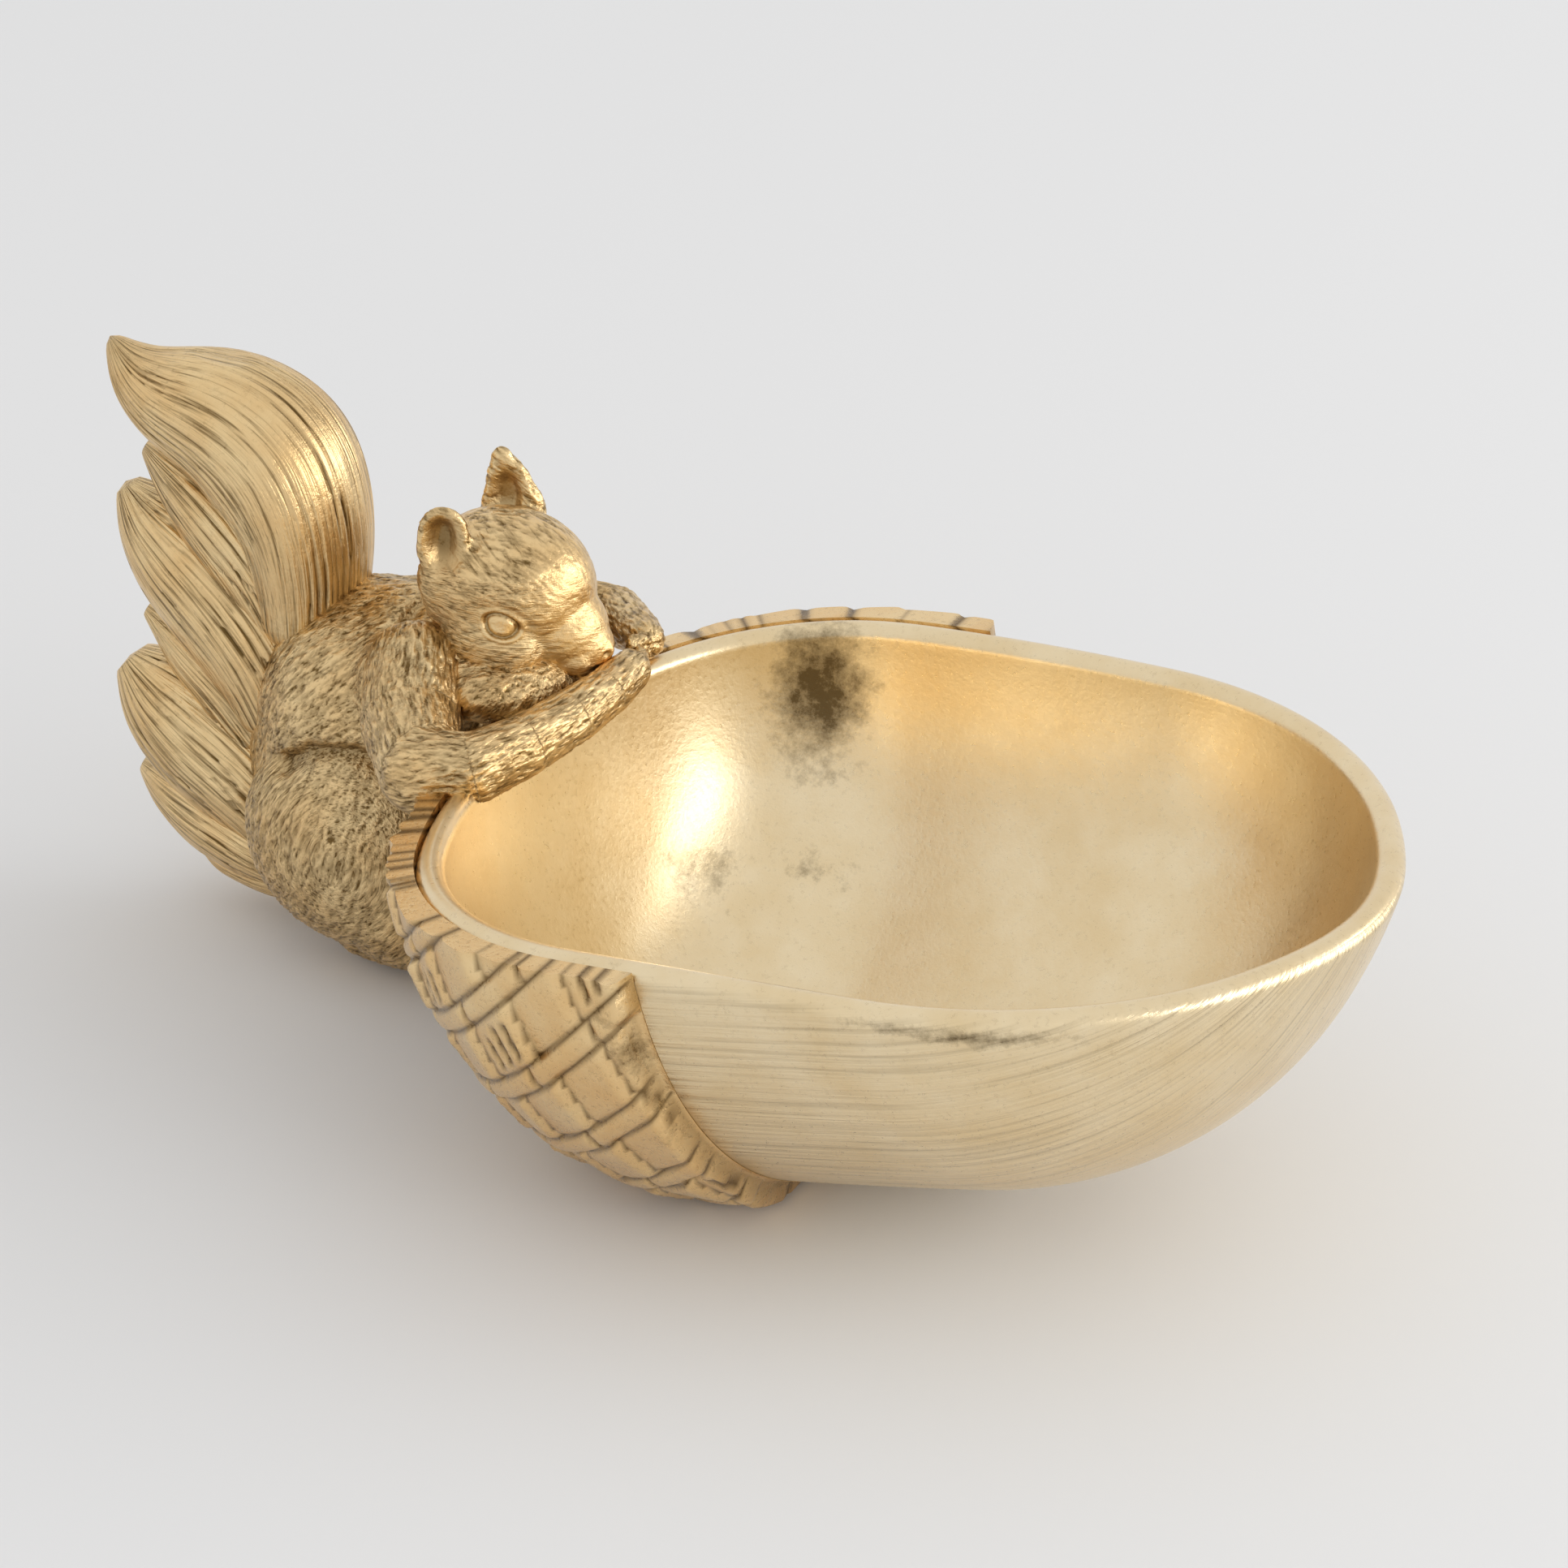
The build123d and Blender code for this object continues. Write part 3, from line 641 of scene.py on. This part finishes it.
# Run together: one closed skin round all the masses, smoothed so that they flow into each other.
def run_together(name, bm, cell, rounds):
    rough_mesh = bpy.data.meshes.new(name + "_masses")
    bm.to_mesh(rough_mesh)
    bm.free()
    maker = bpy.data.objects.new(name + "_masses", rough_mesh)
    bpy.context.scene.collection.objects.link(maker)
    remesh = maker.modifiers.new("one_skin", "REMESH")
    remesh.mode = "VOXEL"
    remesh.voxel_size = cell
    depsgraph = bpy.context.evaluated_depsgraph_get()
    mesh = bpy.data.meshes.new_from_object(maker.evaluated_get(depsgraph), depsgraph=depsgraph)
    mesh.name = name
    bpy.data.objects.remove(maker)
    bpy.data.meshes.remove(rough_mesh)
    mesh.vertices.foreach_set("co", smoothed(mesh, mesh_points(mesh), rounds).ravel())
    mesh.update()
    return mesh


# Smooth by drawing each point towards the mean of its neighbours, round after round.
def smoothed(mesh, points, rounds):
    edges = np.empty(2 * len(mesh.edges), dtype=int)
    mesh.edges.foreach_get("vertices", edges)
    one, two = edges.reshape(-1, 2).T
    count = np.bincount(np.concatenate((one, two)), minlength=len(points))[:, None]
    for step in range(rounds):
        sums = [np.bincount(one, points[two, axis], len(points))
                + np.bincount(two, points[one, axis], len(points)) for axis in range(3)]
        points = points + smoothing_share * (np.stack(sums, axis=1) / count - points)
    return points


# Seat on the acorn: what reaches into the half acorn moves out to its skin or up to its rim.
def seated(points, extra):
    along, out = about_axis(points)
    off_axis = np.linalg.norm(out, axis=1)
    sunk = acorn_radius(along, extra) - off_axis
    low = rim_height(points[:, 0]) - rim_sink - points[:, 2]
    inside = (sunk > 0) & (low > 0)
    lift, push = inside & (low < sunk), inside & (low >= sunk)
    points = points.copy()
    points[lift, 2] += low[lift]
    points[push] += (out / off_axis[:, None] * sunk[:, None])[push]
    return points


# Seat over the lip: what reaches into the bowl's wall moves up to its rim or in to its inner skin.
def over_lip(points):
    along, out = about_axis(points)
    off_axis = np.linalg.norm(out, axis=1)
    low = rim_height(points[:, 0]) - lip_sink - points[:, 2]
    deep = off_axis - acorn_radius(along, -wall - lip_clear)
    inside = (low > 0) & (deep > 0) & (off_axis < acorn_radius(along, lip_reach))
    lift, push = inside & (low < deep), inside & (low >= deep)
    points = points.copy()
    points[lift, 2] += low[lift]
    points[push] -= (out / off_axis[:, None] * deep[:, None])[push]
    return points


# Carve fur: short tapered strokes laid along the fur's flow, deeper ones darker.
def fur(mesh, points, normals, carved, flow, spacing, length, breadth, depth, tone):
    tree = kdtree.KDTree(len(points))
    for index, point in enumerate(points):
        tree.insert(point, index)
    tree.balance()
    sink = np.zeros(len(points))
    skin_area = sum(polygon.area for polygon in mesh.polygons)
    seeds = chance.choice(len(points), int(skin_area / spacing**2))
    ways = flow(points[seeds])
    ways += chance.normal(0, fur_stray, ways.shape)
    across = np.cross(normals[seeds], ways)
    across /= np.linalg.norm(across, axis=1)[:, None] + 1e-9
    ways = np.cross(across, normals[seeds])
    sizes = chance.uniform(*stroke_sizes, (len(seeds), 3))
    for seed, way_there, side, (long, wide, deep) in zip(seeds, ways, across, sizes):
        half = length * long / 2
        found = np.array([item[1] for item in tree.find_range(points[seed], half)])
        offset = points[found] - points[seed]
        along_it, off_it = offset @ way_there / half, offset @ side / (breadth * wide)
        stroke = np.clip(1 - off_it**2, 0, 1) * np.clip(1 - along_it**2, 0, 1) * deep
        sink[found] = np.maximum(sink[found], stroke)
    return points - normals * (sink * depth)[:, None], np.maximum(carved, sink * tone)


# Press a place in, on the side that faces a direction.
def pressed(points, normals, carved, place, radii, depth, tone, facing):
    x, y, z = place
    offset = (points - np.array((x, middle_y + y, z)) * mm) / (np.array(radii) * mm)
    share = np.exp(-(offset**2).sum(axis=1) ** 2) * np.clip(normals @ np.array(facing) * 3, 0, 1)
    return points - normals * (share * depth * mm)[:, None], np.maximum(carved, share * tone)


# Crease: a fold along a line of (x, z) places seen from the side, on the side that faces the given way.
def creased(points, normals, carved, line, breadth, depth, tone, side):
    near = np.full(len(points), 1.0)
    for (x1, z1), (x2, z2) in zip(line, line[1:]):
        start, step = np.array((x1, z1)) * mm, np.array((x2 - x1, z2 - z1)) * mm
        offset = points[:, (0, 2)] - start
        share = np.clip(offset @ step / (step @ step), 0, 1)
        near = np.minimum(near, np.linalg.norm(offset - share[:, None] * step, axis=1))
    on_side = np.clip(side * (points[:, 1] - (middle_y + 2 * side) * mm) / (4 * mm), 0, 1)
    fold = np.exp(-(near / (breadth * mm)) ** 2) * on_side
    return points - normals * (fold * depth * mm)[:, None], np.maximum(carved, fold * tone)


# Toning settles in hollows: how deep each point lies below the smoothed skin.
def hollows(mesh, points, normals, rounds, full):
    return np.clip(((smoothed(mesh, points, rounds) - points) * normals).sum(axis=1) / full, 0, 1)


# The finished casting keeps its carved shares, and reads its strokes from its own place, squeezed
# along the fur's flow so that they come out long and thin.
def finish_casting(mesh, points, carved, node, flow, stroked):
    mesh.vertices.foreach_set("co", points.ravel())
    mesh.update()
    point_values(mesh, "carved", np.clip(carved, 0, 0.85))
    point_values(mesh, "stroked", stroked + np.zeros(len(points)))
    ways = flow(points)
    ways /= np.linalg.norm(ways, axis=1)[:, None]
    squeezed = points - fur_squeeze * ways * (points * ways).sum(axis=1)[:, None]
    point_ways(mesh, fur_fineness * squeezed)
    mesh.materials.append(fur_leaf)
    piece(mesh.name, mesh, node)


# Body: torso, haunches and feet, cast in one and glued against the cap. It is hunched over the
# rim, with feet tucked under and folds over its haunches and shoulders.
bm = bmesh.new()
mass(bm, (-79, 0, 32.5), (28.0, 20, 31))
mass(bm, (-83, 0, 41.5), (21.5, 20.5, 24.5))
mass(bm, (-72, 0, 52), (20, 18, 15.5), lean=8)
mass(bm, (-62, 0, 57.5), (12, 15, 9.5))
mass(bm, (-56, -2, 58.5), (13, 18, 7))
mass(bm, (-60, 0, 63), (12, 12, 9))
for side in (-1, 1):
    mass(bm, (-82.0, side * 13.0, 25.0), (20.0, 11.0, 19.5), lean=-12)
    mass(bm, (-72, side * 13.0, 16), (15, 8.5, 13))
    mass(bm, (-76, side * 9, 5), (14, 6.5, 4.0))
    mass(bm, (-69, side * 12.5, 55), (11, 8, 13), lean=18)
body_mesh = run_together("squirrel_body_leafed", bm, cell=0.44 * mm, rounds=14)


# Fur runs down the back and steeper down over the haunches.
def body_flow(points):
    haunch = np.exp(-(((points[:, (0, 2)] / mm - (-78, 26)) / (16, 17)) ** 2).sum(axis=1))[:, None]
    off = (points[:, 1] / mm - middle_y) / 22
    back_down = np.stack((-0.7 + 0 * off, 0.35 * off, -0.75 + 0 * off), axis=1)
    haunch_way = np.stack((-0.25 + 0 * off, 0.1 * off, -0.95 + 0 * off), axis=1)
    return back_down * (1 - haunch) + haunch_way * haunch


haunch_fold = ((-92, 39), (-85, 43.5), (-77, 44.5), (-70, 42.0), (-65, 37))
shoulder_fold = ((-71, 71), (-74, 64), (-75, 57), (-73.5, 51), (-70, 46))
points, normals = mesh_points(body_mesh), mesh_points(body_mesh, "normal")
carved = np.zeros(len(points))
for side in (-1, 1):
    points, carved = creased(points, normals, carved, haunch_fold, breadth=1.8, depth=2.2, tone=0.6,
                             side=side)
    points, carved = creased(points, normals, carved, shoulder_fold, breadth=1.6, depth=1.4, tone=0.45,
                             side=side)
points, carved = fur(body_mesh, points, normals, carved, body_flow, spacing=2.8 * mm, length=6.5 * mm,
                     breadth=0.95 * mm, depth=0.16 * mm, tone=0.08)
points, carved = fur(body_mesh, points, normals, carved, body_flow, spacing=0.95 * mm, length=3.4 * mm,
                     breadth=0.32 * mm, depth=0.26 * mm, tone=0.60)
carved = np.maximum(carved, 0.4 * hollows(body_mesh, points, normals, rounds=25, full=0.5 * mm))
points = seated(points, cap_clear)
points[:, 2] = np.maximum(points[:, 2], foot_height)
finish_casting(body_mesh, points, carved, "squirrel_body", body_flow, stroked=0.6)

# Head: cast in one and pinned to the body. It is bowed over the rim, with a blunt muzzle, full
# cheeks, lidded eyes and cupped ears.
bm = bmesh.new()
mass(bm, (-58.7, 0, 71.6), (15.0, 13.0, 12.7))
mass(bm, (-55.5, 0, 74.0), (12.0, 10.0, 9.8), lean=15)
mass(bm, (-49.8, 0, 66.2), (9.0, 8.0, 8.0), lean=24)
mass(bm, (-44.9, 0, 64.0), (5.2, 4.9, 4.8), lean=24)
mass(bm, (-41.2, 0, 63.8), (1.9, 2.3, 1.7))
mass(bm, (-49.5, 0, 60.6), (7.5, 5.5, 4.6), lean=20)
for side in (-1, 1):
    mass(bm, (-57.5, side * 7.4, 66.0), (9.6, 6.6, 8.2), lean=15)
    mass(bm, (-45.8, side * 2.8, 62.2), (4.6, 3.6, 3.5))
    mass(bm, (-54.0, side * 8.6, 74.6), (5.0, 3.2, 2.6), lean=15)
    mass(bm, (-65.5, side * 8.2, 74.5), (5.0, 4.0, 6.0))
mass(bm, (-65.0, -9.2, 80.8), (4.7, 2.3, 6.4), turn=24)
mass(bm, (-65.2, -9.2, 83.4), (4.3, 2.0, 4.6), turn=24)
mass(bm, (-62.4, 9.0, 80.0), (5.6, 2.5, 7.0), lean=-6, turn=15)
mass(bm, (-63.2, 9.2, 84.0), (4.1, 2.1, 5.8), lean=-10, turn=15)
mass(bm, (-64.0, 9.2, 87.2), (2.4, 1.6, 4.2), lean=-12, turn=15)
head_mesh = run_together("squirrel_head_leafed", bm, cell=0.32 * mm, rounds=8)


# Fur runs back from the nose, and down over the cheeks.
def head_flow(points):
    off = (points[:, 1] / mm - middle_y) / 13
    low = np.clip((72 - points[:, 2] / mm) / 14, -0.4, 1)
    return np.stack((-0.95 + 0 * off, 0.25 * off, 0.15 - 0.75 * low), axis=1)


points, normals = mesh_points(head_mesh), mesh_points(head_mesh, "normal")
carved = np.zeros(len(points))
points, carved = pressed(points, normals, carved, place=(-64.7, -10.8, 82.2), radii=(2.9, 4, 4.4), depth=2.9,
                         tone=0.85, facing=(0.40, -0.92, 0))
points, carved = pressed(points, normals, carved, place=(-62.8, 7.0, 82.0), radii=(2.8, 4, 5.4), depth=2.2,
                         tone=0.6, facing=(0.26, -0.96, 0))
# Eyes and mouth: calm marks the bare places, where no fur is carved.
eye_x, eye_z = -53.4, 70.6
eye_half_long, eye_half_high = 2.6, 1.75
lean_cosine, lean_sine = 0.94, 0.34
mouth = ((-40.0, 61.2), (-44.0, 60.0), (-49.0, 59.4), (-53, 60.6))
calm = np.clip(carved * 2, 0, 1)
for side in (-1, 1):
    x, z = points[:, 0] / mm - eye_x, points[:, 2] / mm - eye_z
    along_eye, up_eye = x * lean_cosine - z * lean_sine, x * lean_sine + z * lean_cosine
    reach = np.sqrt((along_eye / eye_half_long) ** 2 + (up_eye / eye_half_high) ** 2)
    seen = np.clip(side * (points[:, 1] / mm - middle_y) - 6.0, 0, 1)
    eye_line = np.exp(-((reach - 0.98) / 0.15) ** 2)
    lid = np.exp(-((reach - 1.32) / 0.24) ** 2) * 0.45 - eye_line * 0.45
    ball = np.sqrt(np.clip(1 - (reach / 0.95) ** 2, 0, 1)) * 0.65 - 0.5 * np.exp(-((reach / 1.9) ** 6))
    points = points + normals * (seen * (lid + ball) * mm)[:, None]
    carved = np.maximum(carved, seen * 0.75 * eye_line)
    calm = np.maximum(calm, seen * np.exp(-((reach / 1.7) ** 4)))
    points, carved = creased(points, normals, carved, mouth, breadth=0.5, depth=0.7, tone=0.6, side=side)
    points, carved = pressed(points, normals, carved, place=(-39.9, side * 1.2, 63.6), radii=(0.8, 0.7, 0.6),
                             depth=0.6, tone=0.7, facing=(0.7, side * 0.7, 0))
# The fur is carved all over, and fades out where the head is calm and towards the muzzle.
face = np.clip((points[:, 0] / mm + 52) / 6, 0, 1)
plain = points.copy()
points, fine = fur(head_mesh, points, normals, carved, head_flow, spacing=1.1 * mm, length=2.6 * mm,
                   breadth=0.30 * mm, depth=0.24 * mm, tone=0.55)
calm = np.maximum(calm, 0.6 * face)
points = points * (1 - calm)[:, None] + plain * calm[:, None]
carved = np.maximum(carved, fine * (1 - calm))
carved = np.maximum(carved, 0.4 * hollows(head_mesh, points, normals, rounds=25, full=0.5 * mm))
smudge = (points / mm - (-53.0, middle_y - 5.5, 77.5)) / (3.6, 5.0, 4.4)
point_values(head_mesh, "wear_and_reflection", 1.1 * np.exp(-(smudge**2).sum(axis=1)))
calm = np.maximum(calm, 0.75 * face)
finish_casting(head_mesh, points, carved, "squirrel_head", head_flow, stroked=0.55 * (1 - calm))

# Forelegs: two castings pinned at the shoulders. Each bends at the elbow and lies along the rim,
# with the hands together. For each: the limb's places with their radii, the place of its hand, and
# which way the fingers curl.
arms = (("right_foreleg", ((-68, -14.5, 60, 8.6), (-64, -23, 56, 8.6), (-56, -34, 54.0, 7.2),
                           (-47.5, -33, 56.0, 6.0), (-42.8, -24.5, 57.2, 5.2), (-39.8, -13, 58.0, 4.7),
                           (-38.4, -4, 58.6, 4.2), (-38.0, 3, 59.2, 3.7)), (-37.2, 6.0, 60.6), 1),
        ("left_foreleg", ((-68, 14.5, 60, 8.6), (-62, 21, 56, 7.0), (-52, 24, 56.5, 5.0),
                          (-44.5, 17, 58.5, 4.2), (-40.0, 12, 60.2, 3.5)), (-38.4, 9.2, 61.8), -1))


# Fur on a limb follows the nearest stretch of its path.
def limb_flow(path):
    knots = np.array(path)[:, :3] + (0, middle_y, 0)
    middles = (knots[1:] + knots[:-1]) / 2
    steps = knots[1:] - knots[:-1]

    def flow(points):
        nearest = np.linalg.norm(points[:, None] / mm - middles, axis=2).argmin(axis=1)
        return (steps / np.linalg.norm(steps, axis=1)[:, None])[nearest]

    return flow


for name, path, (x, y, z), curl in arms:
    bm = bmesh.new()
    masses_along(bm, path)
    for finger in (-1.5, -0.5, 0.5, 1.5):
        masses_along(bm, ((x - 1.4, y + 2 * curl, z - 2.2 + finger, 1.5),
                          (x, y, z - 1.2 + finger * 0.9, 1.05),
                          (x - 1.8, y + 1.6 * curl, z - 0.4 + finger * 0.8, 0.9)))
    arm_mesh = run_together(name + "_leafed", bm, cell=0.32 * mm, rounds=8)
    arm_flow = limb_flow(path)
    points, normals = mesh_points(arm_mesh), mesh_points(arm_mesh, "normal")
    carved = np.zeros(len(points))
    points, carved = fur(arm_mesh, points, normals, carved, arm_flow, spacing=2.2 * mm, length=6.0 * mm,
                         breadth=0.8 * mm, depth=0.16 * mm, tone=0.1)
    points, carved = fur(arm_mesh, points, normals, carved, arm_flow, spacing=0.95 * mm, length=3.2 * mm,
                         breadth=0.30 * mm, depth=0.25 * mm, tone=0.60)
    carved = np.maximum(carved, 0.5 * hollows(arm_mesh, points, normals, rounds=20, full=0.4 * mm))
    finish_casting(arm_mesh, over_lip(points), carved, name, arm_flow, stroked=0.55)

# Tail: a brush cast in one and pinned behind the back, of locks that sweep up and back. Each is a
# closed tapering form with strands carved along it that run together at its tip.
# Each lock's line from root to tip, in mm: x, z, half height and half thickness at each place.
locks = (
    ((-97, 50, 7, 9), (-95.5, 62, 9, 11), (-96.0, 75, 10.6, 13), (-101, 85.5, 14, 13.5),
     (-110, 90.3, 12.2, 12), (-120, 91.4, 9.3, 9), (-127, 93.6, 6.8, 6.5), (-131.2, 97.4, 3.0, 3.4),
     (-132.9, 100.2, 0.8, 1.0)),
    ((-98, 52, 6, 8), (-104, 66, 10, 10), (-112, 75, 9.4, 10.5), (-120, 79.5, 6.4, 7.5),
     (-126.8, 82.0, 1.5, 2.0)),
    ((-99, 34, 9, 9), (-103, 48, 11.5, 11.5), (-111, 57.5, 12.6, 11.5), (-121, 64.5, 11.4, 9.5),
     (-127.8, 69.2, 6.6, 6.5), (-131.4, 74.0, 1.6, 2.2)),
    ((-102, 32, 8, 8), (-109, 42, 9, 9.5), (-119, 47.5, 7, 7), (-128.2, 51.5, 1.5, 1.8)),
    ((-98, 14, 9, 8), (-107, 25, 12, 12), (-118, 31.0, 12.5, 11), (-127, 36.5, 9.2, 8.5),
     (-132.4, 41.2, 2.8, 3.6)),
    ((-97, 9, 6, 7), (-106, 14, 9, 10.5), (-117, 17.5, 9.4, 9), (-125.5, 19.8, 6, 6),
     (-130.6, 21.4, 1.5, 2.0)),
    ((-95, 7.5, 5, 6), (-104, 8.5, 5.5, 8), (-114, 9.3, 4.5, 6.5), (-121.5, 11.6, 1.0, 1.3)),
    ((-96, 12, 7, 9), (-98, 30, 7.5, 11), (-95, 46, 7.5, 10), (-93, 58, 5, 8)),
)
tail_lowest = 1.5 * mm
tail_highest = 100.9 * mm
line_smoothings = 60
strand_depth = 0.75
thread_depth = 0.25
way_stretch = 26


# How far each place is from the nearest whole number, from 0 there to 1 half way between.
def between(place):
    return 1 - np.abs(2 * (place - np.floor(place)) - 1)


# A rounded end: from 0 at the end to 1 over the given share of a lock's length.
def rounded_end(share, over):
    return np.sqrt(np.clip(1 - (1 - np.clip(share / over, 0, 1)) ** 2, 0, 1))


bm = bmesh.new()
carved_layer = bm.verts.layers.float.new("carved")
way_layer = bm.verts.layers.float_vector.new("stroke_way")
for number, lock in enumerate(locks):
    knots = np.array(lock)
    lengths = np.linalg.norm(np.diff(knots[:, :2], axis=0), axis=1)
    spots = np.concatenate(([0.0], np.cumsum(lengths))) / lengths.sum()
    lock_turns, lock_rings, strands = (250, 92, 42) if number == 0 else (150, 68, 26)
    shares = np.linspace(0, 1, lock_rings + 1)
    line = np.stack([np.interp(shares, spots, knots[:, axis]) for axis in range(4)], axis=1)
    for step in range(line_smoothings):
        line[1:-1] = (line[:-2] + line[2:] + 2 * line[1:-1]) / 4
    heading = np.gradient(line[:, :2], axis=0)
    heading /= np.linalg.norm(heading, axis=1)[:, None]
    made = bmesh.ops.create_grid(bm, x_segments=lock_turns, y_segments=lock_rings, size=1)["verts"]
    unit = np.array([vert.co for vert in made])
    ring = np.rint((unit[:, 1] + 1) / 2 * lock_rings).astype(int)
    turn = np.where(unit[:, 0] > 0.9999, -1, unit[:, 0]) * math.pi
    share = shares[ring]
    # Strands: broad carved lines that wander round the lock, some strong and some faint, with
    # fine threads between them.
    wander = 0.35 * np.sin(share * 5 + number) + 0.18 * np.sin(share * 13 + 2 * np.sin(turn) + number)
    place = turn / math.tau * strands + wander
    strand = np.floor(place) % strands
    strong = np.clip(1.6 * shuffled(strand, number, 3) - 0.45, 0.05, 1)
    strong *= np.clip(0.6 + 0.6 * np.sin(share * 7 + 6.3 * shuffled(strand, number, 4)), 0, 1)
    deep = groove(between(place), 0.30) * strong
    thread = turn / math.tau * strands * 3 + 2 * wander
    thin = groove(between(thread), 0.42)
    thin *= shuffled(np.floor(thread) % (strands * 3), number, 6) * (
        0.5 + 0.5 * np.sin(share * 11 + 6.3 * shuffled(np.floor(thread), number, 7)))
    fade = np.clip(share / 0.1, 0, 1) * np.clip((1 - share) / 0.08, 0, 1)
    root, tip = rounded_end(share, 0.12), rounded_end(1 - share, 0.02)
    half_high, half_thick = line[ring, 2] * root * tip, line[ring, 3] * root * tip
    size = np.sqrt(half_high * half_thick) / 10
    sink = (strand_depth * deep + thread_depth * thin) * fade * np.clip(size, 0.25, 1)
    out_x, out_z = -heading[ring, 1] * np.cos(turn), heading[ring, 0] * np.cos(turn)
    from_line = np.stack((out_x * (half_high - sink), np.sin(turn) * (half_thick - sink),
                          out_z * (half_high - sink)), axis=1)
    centre = np.stack((line[ring, 0], np.full(len(ring), middle_y), line[ring, 1]), axis=1)
    points = (centre + from_line) * mm
    points[:, 2] = np.clip(points[:, 2], tail_lowest, tail_highest)
    carved = np.clip(0.8 * deep * fade + 0.4 * thin * fade, 0, 0.8)
    ways = np.stack((share * lengths.sum() / way_stretch, turn * 10, 7 * number + 0 * turn), axis=1)
    for vert, point, dark_share, lock_way in zip(made, points, carved, ways * mm * fur_fineness):
        vert.co = point
        vert[carved_layer] = dark_share
        vert[way_layer] = lock_way
bmesh.ops.remove_doubles(bm, verts=bm.verts, dist=0.005 * mm)
bmesh.ops.recalc_face_normals(bm, faces=bm.faces)
tail_mesh = bpy.data.meshes.new("tail_leafed")
bm.to_mesh(tail_mesh)
bm.free()
point_values(tail_mesh, "stroked", np.full(len(tail_mesh.vertices), 0.8))
tail_mesh.materials.append(fur_leaf)
piece("tail_leafed", tail_mesh, "tail")

# Pads: discs of dark felt under the bowl and the squirrel, rough and fibrous, glued on so that
# the ornament doesn't scratch what it stands on.
felt = bpy.data.materials.new("dark_felt")
felt.use_nodes = True
tree = felt.node_tree
felt_shader = tree.nodes["Principled BSDF"]
felt_shader.inputs["Roughness"].default_value = 0.95
felt_shader.inputs["Specular IOR Level"].default_value = 0.1
where = tree.nodes.new("ShaderNodeTexCoord").outputs["Object"]
fibres = add_node(tree, "ShaderNodeTexNoise", Vector=where, Scale=1600.0, Detail=6.0, Roughness=0.75)
felt_tone = add_node(tree, "ShaderNodeValToRGB", Fac=fibres.outputs["Fac"])
felt_tone.color_ramp.elements[0].color = (0.012, 0.010, 0.009, 1)
felt_tone.color_ramp.elements[1].color = (0.075, 0.062, 0.052, 1)
tree.links.new(felt_tone.outputs["Color"], felt_shader.inputs["Base Color"])
felt_bump = add_node(tree, "ShaderNodeBump", Distance=0.25 * mm, Height=fibres.outputs["Fac"])
tree.links.new(felt_bump.outputs["Normal"], felt_shader.inputs["Normal"])

# Pins: short rods of drawn steel, cut to length and glued into bores, hidden in the castings
# that they hold together.
steel = bpy.data.materials.new("drawn_steel")
steel.use_nodes = True
tree = steel.node_tree
steel_shader = tree.nodes["Principled BSDF"]
steel_shader.inputs["Metallic"].default_value = 1.0
steel_shader.inputs["Base Color"].default_value = (0.56, 0.57, 0.58, 1)
where = tree.nodes.new("ShaderNodeTexCoord").outputs["Object"]
scratches = add_node(tree, "ShaderNodeTexNoise", Vector=where, Scale=900.0, Detail=4.0)
steel_rough = add_node(tree, "ShaderNodeMapRange", Value=scratches.outputs["Fac"], To_Min=0.22, To_Max=0.42)
tree.links.new(steel_rough.outputs["Result"], steel_shader.inputs["Roughness"])
for name, finish in (("bowl_pad", felt), ("squirrel_pad", felt), ("cap_pins", steel), ("tail_pins", steel),
                     ("shoulder_pins", steel), ("neck_pin", steel)):
    nodes[name].data.materials.clear()
    nodes[name].data.materials.append(finish)
